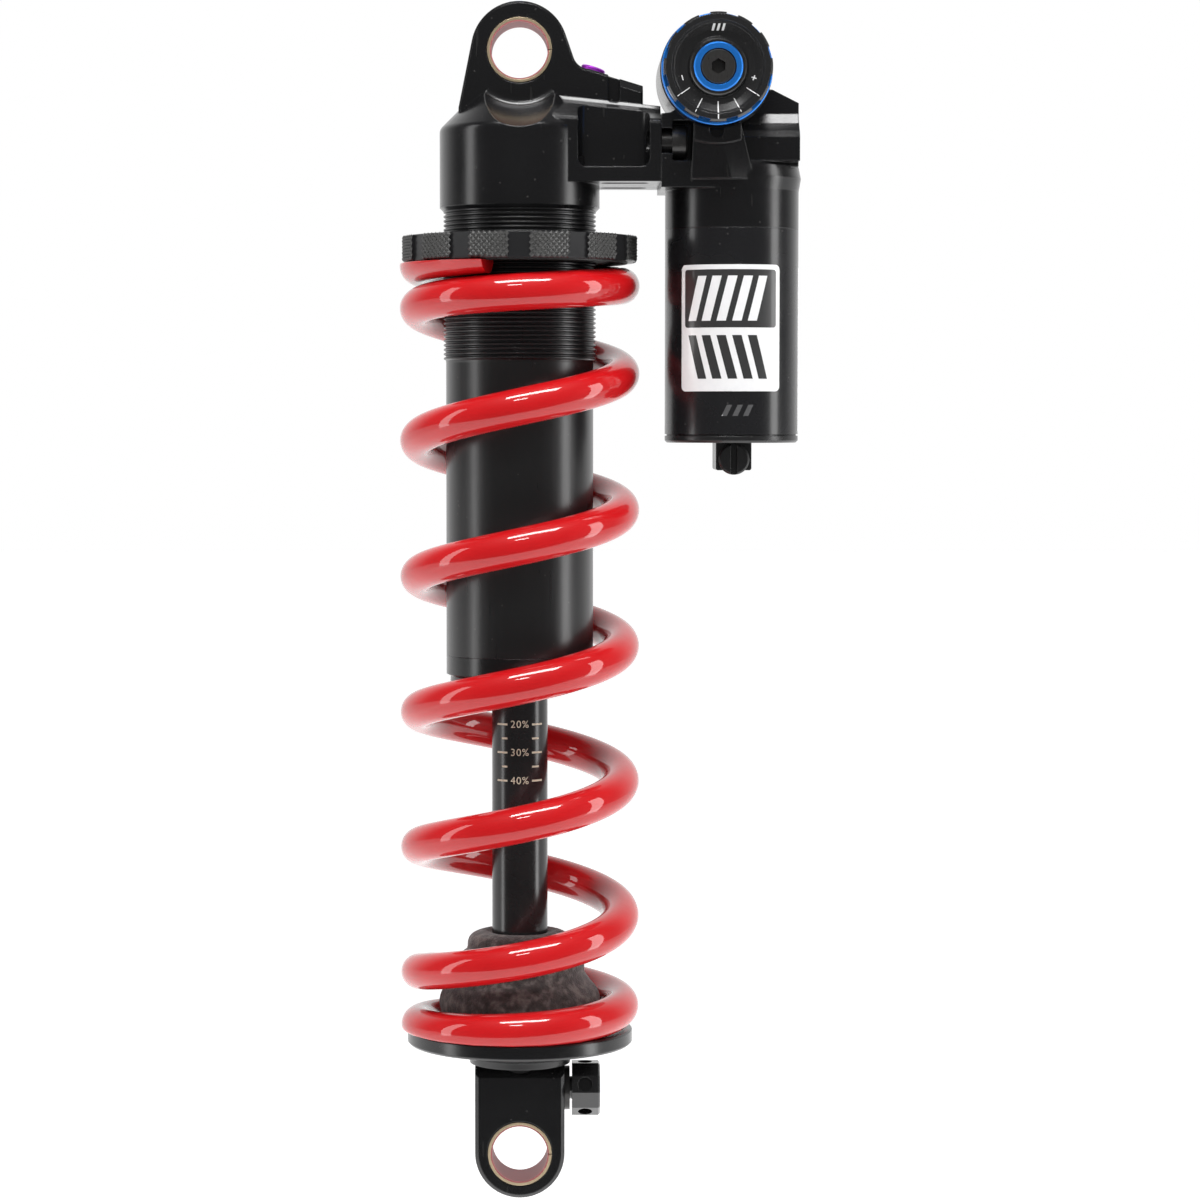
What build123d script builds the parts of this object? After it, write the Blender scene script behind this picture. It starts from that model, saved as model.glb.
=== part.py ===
from build123d import *
from math import acos, atan2, cos, degrees, hypot, radians, sin, sqrt, tan
import os

# Coil-over rear shock for a bicycle, with a side reservoir. Millimetres.
# Origin: centre of the upper eye. +Z runs up the shaft's axis, the eye bores lie along Y,
# and the reservoir stands on the +X side. The shock is drawn fully extended.

# ---- driving dimensions ----
EYE_TO_EYE = 250.0

EYE_BORE_R = 6.35  # 12.7 mm pin
LINER_R = 6.65  # outside of the sliding liner
BUSHING_R = 7.25  # outside of the bushing shell, and the bore of both eyes
EYE_HALF_WIDTH = 6.35
BUSHING_SLIT = 0.3

HEAD_R = 18.1
HEAD_LOW = -35.85
UPPER_EYE_R = 10.9
ARM_HALF = 14.5
ARM_LOW = -29.9
ARM_END = 31.6  # seam between the head and the reservoir manifold

TUBE_R = 16.7
TUBE_BORE_R = 14.0
TUBE_TOP = -24.0
TUBE_LOW = -136.2
THREAD_R = 17.25
THREAD_ROOT_R = 16.75
THREAD_PITCH = 1.0
THREAD_LOW = -70.0

SHAFT_R = 6.35
ROD_R = 2.4  # rebound rod inside the shaft
RUNNING = 0.04  # radial clearance of a sliding fit

SEAL_HEAD_TOP = -127.0
SEAL_HEAD_LOW = -144.0

COLLAR_R = 26.45
COLLAR_TOP = -41.5
COLLAR_LOW = -47.3
COLLAR_FLATS = 12

WIRE_R = 4.15
SPRING_R = 23.05
SPRING_TOP = -47.6
SPRING_LOW = -221.7

RETAINER_R = 25.7
RETAINER_LOW = -225.2
LOWER_EYE_R = 10.2
LOWER_EYE_Z = -EYE_TO_EYE

RESERVOIR_X = 48.03
RESERVOIR_R = 15.1
RESERVOIR_BORE_R = 13.5
CAN_TOP = -40.1
CAN_LOW = -86.1
CAP_LOW = -88.0

DIAL_X = 43.7
DIAL_Z = -5.5
DIAL_R = 12.0
BARREL_R = 12.5
BARREL_BORE_R = 9.5
BARREL_FRONT = 15.0  # towards -Y
BARREL_BACK = 13.0  # towards +Y

BOLT_Y = 10.8
BOLT_Z = -20.9
BOLT_R = 2.5

SLOPE = -16.9  # degrees, top of the head behind the upper eye
SLOPE_START = (15.4, -4.2)

REBOUND_Z = -235.9

# ---- working planes: in each, x is the radius and y runs along the piece's own axis ----
SHAFT_LINE = Plane.XZ
RESERVOIR_LINE = Plane(origin=(RESERVOIR_X, 0, 0), x_dir=(1, 0, 0), z_dir=(0, -1, 0))
DIAL_LINE = Plane(origin=(DIAL_X, 0, DIAL_Z), x_dir=(1, 0, 0), z_dir=(0, 0, -1))
UPPER_PIN = Plane(origin=(0, 0, 0), x_dir=(1, 0, 0), z_dir=(0, 0, -1))
LOWER_PIN = Plane(origin=(0, 0, LOWER_EYE_Z), x_dir=(1, 0, 0), z_dir=(0, 0, -1))
REBOUND_LINE = Plane(origin=(0, 0, REBOUND_Z), x_dir=(0, 0, 1), z_dir=(0, 1, 0))

os.makedirs("parts", exist_ok=True)


def ring(inner, outer, low, high):
    """Outline of a plain ring, as (radius, station) pairs."""
    return [(inner, low), (outer, low), (outer, high), (inner, high)]


def turn(outline, plane, mode=Mode.ADD):
    """Turns an outline of (radius, station) pairs about the plane's own y direction."""
    with BuildSketch(plane) as half:
        with BuildLine():
            Polyline(*outline, close=True)
        make_face()
    revolve(half.sketch, axis=Axis(plane.origin, plane.y_dir), mode=mode)


def write(piece, name):
    """Labels a finished piece and writes its STEP file."""
    piece.part.label = name
    export_step(piece.part, "parts/" + name + ".step")


def turned_piece(name, outline, plane=SHAFT_LINE):
    """A piece that is one turned outline."""
    with BuildPart() as piece:
        turn(outline, plane)
    write(piece, name)


def split_sleeve(name, inner, outer, plane):
    """A rolled sleeve in an eye, with its seam towards +X."""
    centre = plane.origin
    with BuildPart() as piece:
        turn(ring(inner, outer, -EYE_HALF_WIDTH, EYE_HALF_WIDTH), plane)
        with Locations((centre.X + outer, centre.Y, centre.Z)):
            Box(outer, 3 * EYE_HALF_WIDTH, BUSHING_SLIT, mode=Mode.SUBTRACT)
    write(piece, name)


# ---- damper head: upper eye, threaded cup for the tube, arm to the reservoir ----
CONE_TOP_R = 6.0
CONE_EDGE = -17.4
CONE_TOP = CONE_EDGE + HEAD_R - CONE_TOP_R
SCOOP_R = 12.3  # radius of the scoop where it leaves the eye plate
SCOOP_GROWTH = 0.49
SCOOP_FILLET = 2.0
SHOULDER_X = 13.7  # where the left flank meets the cone
SHOULDER_Z = -12.9
STEP_X = 27.7  # right end of the eye plate
PLATE_EDGE = 0.45
NECK_FOOT = (12.15, -1.75)  # lower end of the straight right flank
BEVEL = 1.7
BEVEL_START = 22.4
POCKET_LEFT = 13.0
POCKET_RIGHT = 29.0
POCKET_FLOOR = 8.0
POCKET_LOW = -26.6
POCKET_HIGH = -6.0
POCKET_CORNER = 2.9
OIL_HOLE_R = 2.5

# where the straight flanks leave the round crown of the eye, in degrees
shoulder_reach = acos(UPPER_EYE_R / hypot(SHOULDER_X, SHOULDER_Z))
flank_start = degrees(atan2(SHOULDER_Z, -SHOULDER_X) - shoulder_reach) % 360
neck_start = degrees(atan2(NECK_FOOT[1], NECK_FOOT[0]) + acos(UPPER_EYE_R / hypot(*NECK_FOOT)))
neck_line = (sin(radians(neck_start)), -cos(radians(neck_start)))
slope_drop = (STEP_X - SLOPE_START[0]) * sin(radians(SLOPE)) / cos(radians(SLOPE))

with BuildPart() as damper_head:
    turn(
        [
            (0, HEAD_LOW),
            (HEAD_R - 0.8, HEAD_LOW),
            (HEAD_R, HEAD_LOW + 0.8),
            (HEAD_R, CONE_EDGE),
            (CONE_TOP_R, CONE_TOP),
            (0, CONE_TOP),
        ],
        SHAFT_LINE,
    )
    widest_rims = damper_head.edges().filter_by(GeomType.CIRCLE).group_by(SortBy.RADIUS)[-1]
    fillet(widest_rims.sort_by(Axis.Z)[-1], 2.0)
    # arm: its roof slopes down to the front and back, and a little towards the reservoir
    for x, ridge, eave in ((2.0, -10.4, -14.9), (ARM_END, -13.5, -16.4)):
        with BuildSketch(Plane.YZ.offset(x)):
            with BuildLine():
                eaves = [
                    (ARM_HALF, ARM_LOW),
                    (ARM_HALF, eave - 0.8),
                    (ARM_HALF - 0.25, eave - 0.1),
                    (ARM_HALF - 0.9, eave + 0.4),
                    (EYE_HALF_WIDTH + 1.4, ridge - 0.6),
                    (EYE_HALF_WIDTH + 0.5, ridge + 0.1),
                    (EYE_HALF_WIDTH, ridge + 0.9),
                ]
                Polyline(*eaves, *[(-y, z) for y, z in reversed(eaves)], close=True)
            make_face()
    loft(ruled=True)
    # conical scoop above the cup, in line with the eye bore, in front and behind
    scoop_end = HEAD_R + 2
    scoop_end_r = SCOOP_R + SCOOP_GROWTH * (scoop_end - EYE_HALF_WIDTH)
    for side in (-1, 1):
        with BuildSketch(UPPER_PIN) as scoop:
            with BuildLine():
                Polyline(
                    (0, side * EYE_HALF_WIDTH),
                    (SCOOP_R, side * EYE_HALF_WIDTH),
                    (scoop_end_r, side * scoop_end),
                    (0, side * scoop_end),
                    close=True,
                )
            make_face()
            inner_corners = scoop.vertices().group_by(Axis.Y)[0 if side > 0 else -1]
            fillet(inner_corners.sort_by(Axis.X)[-1], SCOOP_FILLET)
        revolve(scoop.sketch, axis=Axis(UPPER_PIN.origin, UPPER_PIN.y_dir), mode=Mode.SUBTRACT)
    # pockets that thin the arm, one in front and one behind
    pocket_middle = (POCKET_LEFT + POCKET_RIGHT) / 2
    with BuildPart(mode=Mode.SUBTRACT):
        for side in (-1, 1):
            with BuildSketch(Plane.XY.offset(POCKET_LOW)):
                with Locations((pocket_middle, side * (POCKET_FLOOR + ARM_HALF))):
                    RectangleRounded(POCKET_RIGHT - POCKET_LEFT, 2 * ARM_HALF, POCKET_CORNER)
            extrude(amount=POCKET_HIGH - POCKET_LOW)
        with BuildSketch(Plane.XZ.offset(HEAD_R)):
            with Locations((pocket_middle, (POCKET_LOW + POCKET_HIGH) / 2)):
                RectangleRounded(POCKET_RIGHT - POCKET_LEFT, POCKET_HIGH - POCKET_LOW, 2.0)
        extrude(amount=-2 * HEAD_R, mode=Mode.INTERSECT)
    # eye plate, its edges broken all round
    with BuildPart() as eye_plate:
        with BuildSketch(Plane.XZ.offset(EYE_HALF_WIDTH)) as plate_outline:
            with BuildLine():
                crown = CenterArc((0, 0), UPPER_EYE_R, neck_start, flank_start - neck_start)
                Polyline(
                    crown @ 1,
                    (-SHOULDER_X, SHOULDER_Z),
                    (-SHOULDER_X, 2 * SHOULDER_Z),
                    (STEP_X, 2 * SHOULDER_Z),
                    (STEP_X, SLOPE_START[1] + slope_drop),
                    SLOPE_START,
                )
                TangentArc(NECK_FOOT, SLOPE_START, tangent=neck_line)
                Line(NECK_FOOT, crown @ 0)
            make_face()
        extrude(plate_outline.sketch, amount=-2 * EYE_HALF_WIDTH)
        for side in (-1, 1):
            rim = eye_plate.faces().sort_by(Axis.Y)[0 if side < 0 else -1]
            chamfer(rim.edges(), PLATE_EDGE)
        # wider bevel beyond the groove
        slope_line = Plane(
            origin=(BEVEL_START, 0, SLOPE_START[1] + (BEVEL_START - SLOPE_START[0]) * tan(radians(SLOPE))),
            x_dir=(0, 1, 0),
            z_dir=(cos(radians(SLOPE)), 0, sin(radians(SLOPE))),
        )
        for side in (-1, 1):
            with BuildSketch(slope_line):
                with BuildLine():
                    Polyline(
                        (side * (EYE_HALF_WIDTH - BEVEL), 0),
                        (side * (EYE_HALF_WIDTH - BEVEL), 1),
                        (side * (EYE_HALF_WIDTH + 1), 1),
                        (side * (EYE_HALF_WIDTH + 1), -BEVEL),
                        (side * EYE_HALF_WIDTH, -BEVEL),
                        close=True,
                    )
                make_face()
            extrude(amount=STEP_X, mode=Mode.SUBTRACT)
    # relief grooves in both faces of the plate, round at the bottom
    for side in (-1, 1):
        with BuildSketch(Plane.XZ.offset(side * EYE_HALF_WIDTH)):
            with Locations((21.2, -7.0)):
                SlotOverall(10.4, 2.65, rotation=90)
        extrude(amount=-side * 3.2, mode=Mode.SUBTRACT)
    # eye bore with its lead-in at both faces
    turn(ring(0, BUSHING_R, -EYE_HALF_WIDTH - 1, EYE_HALF_WIDTH + 1), UPPER_PIN, mode=Mode.SUBTRACT)
    for side in (-1, 1):
        turn(
            [
                (0, side * (EYE_HALF_WIDTH - 0.25)),
                (BUSHING_R, side * (EYE_HALF_WIDTH - 0.25)),
                (BUSHING_R + 0.5, side * (EYE_HALF_WIDTH + 0.25)),
                (0, side * (EYE_HALF_WIDTH + 0.25)),
            ],
            UPPER_PIN,
            mode=Mode.SUBTRACT,
        )
    # cup for the damper tube, oil chamber above it and the oil hole through the arm
    turn(ring(0, TUBE_R, HEAD_LOW - 1, TUBE_TOP), SHAFT_LINE, mode=Mode.SUBTRACT)
    turn(ring(0, 6.0, TUBE_TOP - 1, BOLT_Z + 3), SHAFT_LINE, mode=Mode.SUBTRACT)
    with BuildSketch(Plane.YZ):
        with Locations((0, BOLT_Z)):
            Circle(OIL_HOLE_R)
    extrude(amount=ARM_END + 1, mode=Mode.SUBTRACT)
    # tapped holes for the two reservoir bolts
    with BuildSketch(Plane.YZ.offset(POCKET_RIGHT - 0.6)):
        with Locations((-BOLT_Y, BOLT_Z), (BOLT_Y, BOLT_Z)):
            Circle(BOLT_R)
    extrude(amount=ARM_END, mode=Mode.SUBTRACT)
    # blind slot milled into the underside of the arm
    with BuildSketch(Plane.XY.offset(ARM_LOW - 1)):
        with Locations((23.6, -8.2), (23.6, 8.2)):
            SlotOverall(10.6, 3.4)
    extrude(amount=3.0, mode=Mode.SUBTRACT)
    # seat for the bottom-out dial on the sloping roof
    dial_seat = Plane(
        origin=(16.4, 0, SLOPE_START[1] + (16.4 - SLOPE_START[0]) * slope_drop / (STEP_X - SLOPE_START[0])),
        x_dir=(cos(radians(SLOPE)), 0, sin(radians(SLOPE))),
        z_dir=(-sin(radians(SLOPE)), 0, cos(radians(SLOPE))),
    )
    with BuildSketch(dial_seat):
        Circle(1.8 + RUNNING)
    extrude(amount=-6.0, mode=Mode.SUBTRACT)
write(damper_head, "damper_head")

# ---- bushings in both eyes: rolled bronze shell with a sliding liner ----
for place, plane in (("upper", UPPER_PIN), ("lower", LOWER_PIN)):
    split_sleeve(place + "_bushing", LINER_R, BUSHING_R, plane)
    split_sleeve(place + "_bushing_liner", EYE_BORE_R, LINER_R, plane)

# ---- damper tube: spring thread outside, piston bore inside ----
thread = []
turns = int((HEAD_LOW - THREAD_LOW) / THREAD_PITCH)
for n in range(turns):
    crest = HEAD_LOW - n * THREAD_PITCH
    thread += [
        (THREAD_R, crest),
        (THREAD_R, crest - 0.3 * THREAD_PITCH),
        (THREAD_ROOT_R, crest - 0.6 * THREAD_PITCH),
        (THREAD_ROOT_R, crest - 0.75 * THREAD_PITCH),
    ]
turned_piece(
    "damper_tube",
    [(TUBE_BORE_R, TUBE_TOP), (TUBE_R, TUBE_TOP), (TUBE_R, HEAD_LOW)]
    + thread
    + [(TUBE_R, THREAD_LOW), (TUBE_R, TUBE_LOW), (TUBE_BORE_R, TUBE_LOW)],
)

# ---- cup at the top of the bore: catches the small piston near the end of the stroke ----
CUP_LOW = -47.0
CUP_FLOOR = -27.0
CUP_BORE_R = 8.2
turned_piece(
    "bottom_out_cup",
    [
        (2.0, TUBE_TOP),
        (TUBE_BORE_R, TUBE_TOP),
        (TUBE_BORE_R, CUP_LOW),
        (CUP_BORE_R + 0.8, CUP_LOW),
        (CUP_BORE_R, CUP_LOW + 0.8),
        (CUP_BORE_R, CUP_FLOOR),
        (2.0, CUP_FLOOR),
    ],
)

# ---- seal head: closes the tube and guides the shaft ----
SEAL_STEP = -140.5
GUIDE_R = 7.4
GUIDE_LOW = -139.5
GUIDE_TOP = -131.5
SEAL_R = 8.6
SEAL_TOP = -128.5
WIPER_R = 9.6
WIPER_TOP = -141.3
ORING_GROOVE_R = 12.6
ORING_LOW = -133.5
ORING_TOP = -131.0
turned_piece(
    "seal_head",
    [
        (SHAFT_R + RUNNING, SEAL_HEAD_TOP),
        (TUBE_BORE_R, SEAL_HEAD_TOP),
        (TUBE_BORE_R, ORING_TOP),
        (ORING_GROOVE_R, ORING_TOP),
        (ORING_GROOVE_R, ORING_LOW),
        (TUBE_BORE_R, ORING_LOW),
        (TUBE_BORE_R, TUBE_LOW),
        (TUBE_R, TUBE_LOW),
        (TUBE_R, SEAL_STEP),
        (TUBE_R - 0.9, SEAL_STEP - 0.5),
        (TUBE_R - 0.9, SEAL_HEAD_LOW + 1.0),
        (TUBE_R - 1.9, SEAL_HEAD_LOW),
        (WIPER_R, SEAL_HEAD_LOW),
        (WIPER_R, WIPER_TOP),
        (SHAFT_R + RUNNING, WIPER_TOP),
        (SHAFT_R + RUNNING, GUIDE_LOW),
        (GUIDE_R, GUIDE_LOW),
        (GUIDE_R, GUIDE_TOP),
        (SEAL_R, GUIDE_TOP),
        (SEAL_R, SEAL_TOP),
        (SHAFT_R + RUNNING, SEAL_TOP),
    ],
)
turned_piece("shaft_guide_bush", ring(SHAFT_R + RUNNING, GUIDE_R, GUIDE_LOW, GUIDE_TOP))
turned_piece("shaft_seal", ring(SHAFT_R + RUNNING, SEAL_R, GUIDE_TOP, SEAL_TOP))
turned_piece("seal_head_o_ring", ring(ORING_GROOVE_R, TUBE_BORE_R, ORING_LOW, ORING_TOP))
turned_piece(
    "shaft_wiper",
    [
        (SHAFT_R + RUNNING, SEAL_HEAD_LOW - 0.6),
        (SHAFT_R + 0.6, SEAL_HEAD_LOW - 0.6),
        (SHAFT_R + 1.6, SEAL_HEAD_LOW),
        (WIPER_R, SEAL_HEAD_LOW),
        (WIPER_R, WIPER_TOP),
        (SHAFT_R + RUNNING, WIPER_TOP),
    ],
)

# ---- shaft, with the valve post at its top end ----
POST_R = 4.0
POST_LOW = -124.5
POST_TOP = -106.0
SHAFT_LOW = -243.0
SHAFT_TENON_R = 5.5
TENON_TOP = -229.8
turned_piece(
    "damper_shaft",
    [
        (ROD_R + RUNNING, SHAFT_LOW + 3.0),
        (SHAFT_TENON_R, SHAFT_LOW + 3.0),
        (SHAFT_TENON_R, TENON_TOP),
        (SHAFT_R, TENON_TOP),
        (SHAFT_R, POST_LOW),
        (POST_R, POST_LOW),
        (POST_R, POST_TOP),
        (ROD_R + RUNNING, POST_TOP),
    ],
)
turned_piece(
    "rebound_rod",
    [
        (0, REBOUND_Z + 4.0),
        (ROD_R, REBOUND_Z + 4.0),
        (ROD_R, POST_TOP - 4.0),
        (0.8, POST_TOP),
        (0, POST_TOP),
    ],
)

# ---- valving on the post, from the seal head upwards ----
PISTON_R = TUBE_BORE_R - 0.3
BAND_R = TUBE_BORE_R - RUNNING
PISTON_LOW = -121.3
PISTON_TOP = -113.3
BAND_GROOVE_R = 12.9
turned_piece("top_out_bumper", ring(POST_R, 9.5, POST_LOW, POST_LOW + 2.2))
turned_piece(
    "rebound_shims",
    [
        (POST_R, POST_LOW + 2.2),
        (7.0, POST_LOW + 2.2),
        (7.0, POST_LOW + 2.7),
        (11.0, POST_LOW + 2.7),
        (11.0, PISTON_LOW),
        (POST_R, PISTON_LOW),
    ],
)
with BuildPart() as main_piston:
    turn(
        [
            (POST_R, PISTON_LOW),
            (PISTON_R - 0.6, PISTON_LOW),
            (PISTON_R, PISTON_LOW + 0.6),
            (PISTON_R, PISTON_LOW + 1.6),
            (BAND_GROOVE_R, PISTON_LOW + 1.6),
            (BAND_GROOVE_R, PISTON_TOP - 1.6),
            (PISTON_R, PISTON_TOP - 1.6),
            (PISTON_R, PISTON_TOP - 0.6),
            (PISTON_R - 0.6, PISTON_TOP),
            (POST_R, PISTON_TOP),
        ],
        SHAFT_LINE,
    )
    # oil ports through the piston
    with BuildSketch(Plane.XY.offset(PISTON_LOW - 1)):
        with PolarLocations(8.5, 6):
            Circle(1.5)
    extrude(amount=PISTON_TOP - PISTON_LOW + 2, mode=Mode.SUBTRACT)
write(main_piston, "main_piston")
turned_piece("piston_glide_band", ring(BAND_GROOVE_R, BAND_R, PISTON_LOW + 1.6, PISTON_TOP - 1.6))
turned_piece(
    "compression_shims",
    [
        (POST_R, PISTON_TOP),
        (11.0, PISTON_TOP),
        (11.0, PISTON_TOP + 0.6),
        (7.5, PISTON_TOP + 0.6),
        (7.5, PISTON_TOP + 1.2),
        (POST_R, PISTON_TOP + 1.2),
    ],
)
turned_piece(
    "bottom_out_piston",
    [
        (POST_R, PISTON_TOP + 1.2),
        (7.0, PISTON_TOP + 1.2),
        (7.0, POST_TOP - 3.5),
        (CUP_BORE_R - 0.15, POST_TOP - 3.5),
        (CUP_BORE_R - 0.15, POST_TOP - 0.8),
        (CUP_BORE_R - 0.9, POST_TOP),
        (POST_R, POST_TOP),
    ],
)

# ---- preload collar and the slip washer between it and the spring ----
WASHER_R = 24.4
with BuildPart() as preload_collar:
    turn(
        [
            (THREAD_R + RUNNING, COLLAR_TOP - 0.5),
            (THREAD_R + RUNNING + 0.5, COLLAR_TOP),
            (COLLAR_R - 0.35, COLLAR_TOP),
            (COLLAR_R, COLLAR_TOP - 0.35),
            (COLLAR_R, COLLAR_LOW + 0.35),
            (COLLAR_R - 0.35, COLLAR_LOW),
            (WASHER_R + 0.1, COLLAR_LOW),
            (WASHER_R + 0.1, COLLAR_LOW + 0.5),
            (THREAD_R + RUNNING, COLLAR_LOW + 0.5),
        ],
        SHAFT_LINE,
    )
    # flat-bottomed spanner notches round the rim
    with BuildSketch(Plane.XY.offset(COLLAR_LOW - 1)):
        with PolarLocations(COLLAR_R + 1.3, COLLAR_FLATS):
            Rectangle(4.0, 5.2)
    extrude(amount=COLLAR_TOP - COLLAR_LOW + 2, mode=Mode.SUBTRACT)
write(preload_collar, "preload_collar")
turned_piece("spring_slip_washer", ring(THREAD_R + 0.25, WASHER_R, SPRING_TOP, COLLAR_LOW + 0.5))

# ---- coil spring: round wire, ends ground flat ----
SPRING_TURNS = 6.2
spring_rise = SPRING_TOP - SPRING_LOW
with BuildPart() as coil_spring:
    with BuildLine():
        coil = Helix(
            pitch=spring_rise / SPRING_TURNS,
            height=spring_rise,
            radius=SPRING_R,
            center=(0, 0, SPRING_LOW),
        )
    with BuildSketch(Plane(origin=coil @ 0, z_dir=coil % 0)):
        Circle(WIRE_R)
    sweep()
    split(bisect_by=Plane.XY.offset(SPRING_TOP), keep=Keep.BOTTOM)
    split(bisect_by=Plane.XY.offset(SPRING_LOW), keep=Keep.TOP)
write(coil_spring, "coil_spring")

# ---- lower spring retainer and the foam bump stop that sits in it ----
HUB_R = 11.5  # clears the rebound dial
turned_piece(
    "spring_retainer",
    [
        (SHAFT_R, SPRING_LOW),
        (17.8, SPRING_LOW),
        (17.8, -219.9),
        (18.3, -219.4),
        (18.5, -219.9),
        (18.7, SPRING_LOW),
        (RETAINER_R - 0.4, SPRING_LOW),
        (RETAINER_R, SPRING_LOW - 0.4),
        (RETAINER_R, RETAINER_LOW + 0.5),
        (RETAINER_R - 0.5, RETAINER_LOW),
        (24.6, RETAINER_LOW),
        (HUB_R + 0.2, -228.3),
        (HUB_R, TENON_TOP),
        (SHAFT_R, TENON_TOP),
    ],
)
with BuildPart() as bump_stop:
    with BuildSketch(SHAFT_LINE) as foam:
        with BuildLine():
            Polyline((SHAFT_R + 0.05, SPRING_LOW), (17.4, SPRING_LOW), (17.6, -218.0))
            Spline(
                (17.6, -218.0),
                (18.3, -215.0),
                (17.2, -212.0),
                (14.6, -209.0),
                (14.7, -206.5),
                (13.2, -204.8),
                (11.9, -203.6),
                (12.0, -202.0),
                (10.6, -200.1),
                (8.8, -199.5),
            )
            Polyline((8.8, -199.5), (SHAFT_R + 0.05, -199.5), (SHAFT_R + 0.05, SPRING_LOW))
        make_face()
    revolve(foam.sketch, axis=Axis.Z)
write(bump_stop, "bump_stop")

# ---- lower eyelet: screws on the shaft, carries the lower bushing and the rebound dial ----
EYELET_TOP = TENON_TOP
EYELET_SHOULDER = -232.5
GLAND_R = 4.2
GLAND_FLANGE_R = 5.0
with BuildPart() as lower_eyelet:
    with BuildSketch(Plane.XZ):
        with Locations((0, (EYELET_TOP + LOWER_EYE_Z) / 2)):
            Rectangle(2 * LOWER_EYE_R, EYELET_TOP - LOWER_EYE_Z)
        with Locations((0, LOWER_EYE_Z)):
            Circle(LOWER_EYE_R)
    extrude(amount=EYE_HALF_WIDTH, both=True)
    # the socket round the shaft's tenon is thicker than the eye
    faces_y = lower_eyelet.faces().filter_by(Axis.Y)
    chamfer(faces_y.edges(), 0.8)
    with Locations((0, 0, EYELET_TOP)):
        for side in (-1, 1):
            with Locations((0, side * EYE_HALF_WIDTH, 0)):
                Box(
                    2 * LOWER_EYE_R + 2,
                    2 * (EYELET_TOP - EYELET_SHOULDER) / sqrt(2),
                    2 * (EYELET_TOP - EYELET_SHOULDER) / sqrt(2),
                    rotation=(45, 0, 0),
                    mode=Mode.SUBTRACT,
                )
    turn(ring(0, BUSHING_R, -EYE_HALF_WIDTH - 1, EYE_HALF_WIDTH + 1), LOWER_PIN, mode=Mode.SUBTRACT)
    for side in (-1, 1):
        turn(
            [
                (0, side * (EYE_HALF_WIDTH - 0.25)),
                (BUSHING_R, side * (EYE_HALF_WIDTH - 0.25)),
                (BUSHING_R + 0.5, side * (EYE_HALF_WIDTH + 0.25)),
                (0, side * (EYE_HALF_WIDTH + 0.25)),
            ],
            LOWER_PIN,
            mode=Mode.SUBTRACT,
        )
    turn(ring(0, SHAFT_TENON_R, SHAFT_LOW + 3.0, EYELET_TOP + 1), SHAFT_LINE, mode=Mode.SUBTRACT)
    turn(ring(0, GLAND_R, 0, LOWER_EYE_R + 1), REBOUND_LINE, mode=Mode.SUBTRACT)
write(lower_eyelet, "lower_eyelet")

# ---- rebound dial on the side of the lower eyelet: gland, cam spindle and decagonal dial ----
SPINDLE_R = 2.6
REBOUND_DIAL_R = 6.3
REBOUND_DIAL_START = 11.9
REBOUND_DIAL_END = 18.3
turned_piece(
    "rebound_gland",
    [
        (SPINDLE_R + RUNNING, 6.6),
        (GLAND_R, 6.6),
        (GLAND_R, LOWER_EYE_R),
        (GLAND_FLANGE_R, LOWER_EYE_R),
        (GLAND_FLANGE_R, LOWER_EYE_R + 1.2),
        (SPINDLE_R + RUNNING, LOWER_EYE_R + 1.2),
    ],
    REBOUND_LINE,
)
with BuildPart() as rebound_dial:
    turn(ring(0, SPINDLE_R, 6.6, REBOUND_DIAL_START), REBOUND_LINE)
    with BuildSketch(Plane.YZ.offset(REBOUND_DIAL_START)):
        with Locations((0, REBOUND_Z)):
            RegularPolygon(REBOUND_DIAL_R, 10)
    extrude(amount=REBOUND_DIAL_END - REBOUND_DIAL_START)
    chamfer(rebound_dial.faces().filter_by(Axis.X).sort_by(Axis.X)[-1].edges(), 0.4)
    # finger holes in every second flat
    for n in range(5):
        lean = radians(18 + 72 * n)
        hole = Plane(
            origin=(REBOUND_DIAL_START + 3.0, 0, REBOUND_Z),
            x_dir=(1, 0, 0),
            z_dir=(0, -cos(lean), sin(lean)),
        )
        with BuildSketch(hole.offset(3.6)):
            Circle(1.6)
        extrude(amount=REBOUND_DIAL_R, mode=Mode.SUBTRACT)
write(rebound_dial, "rebound_dial")

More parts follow.
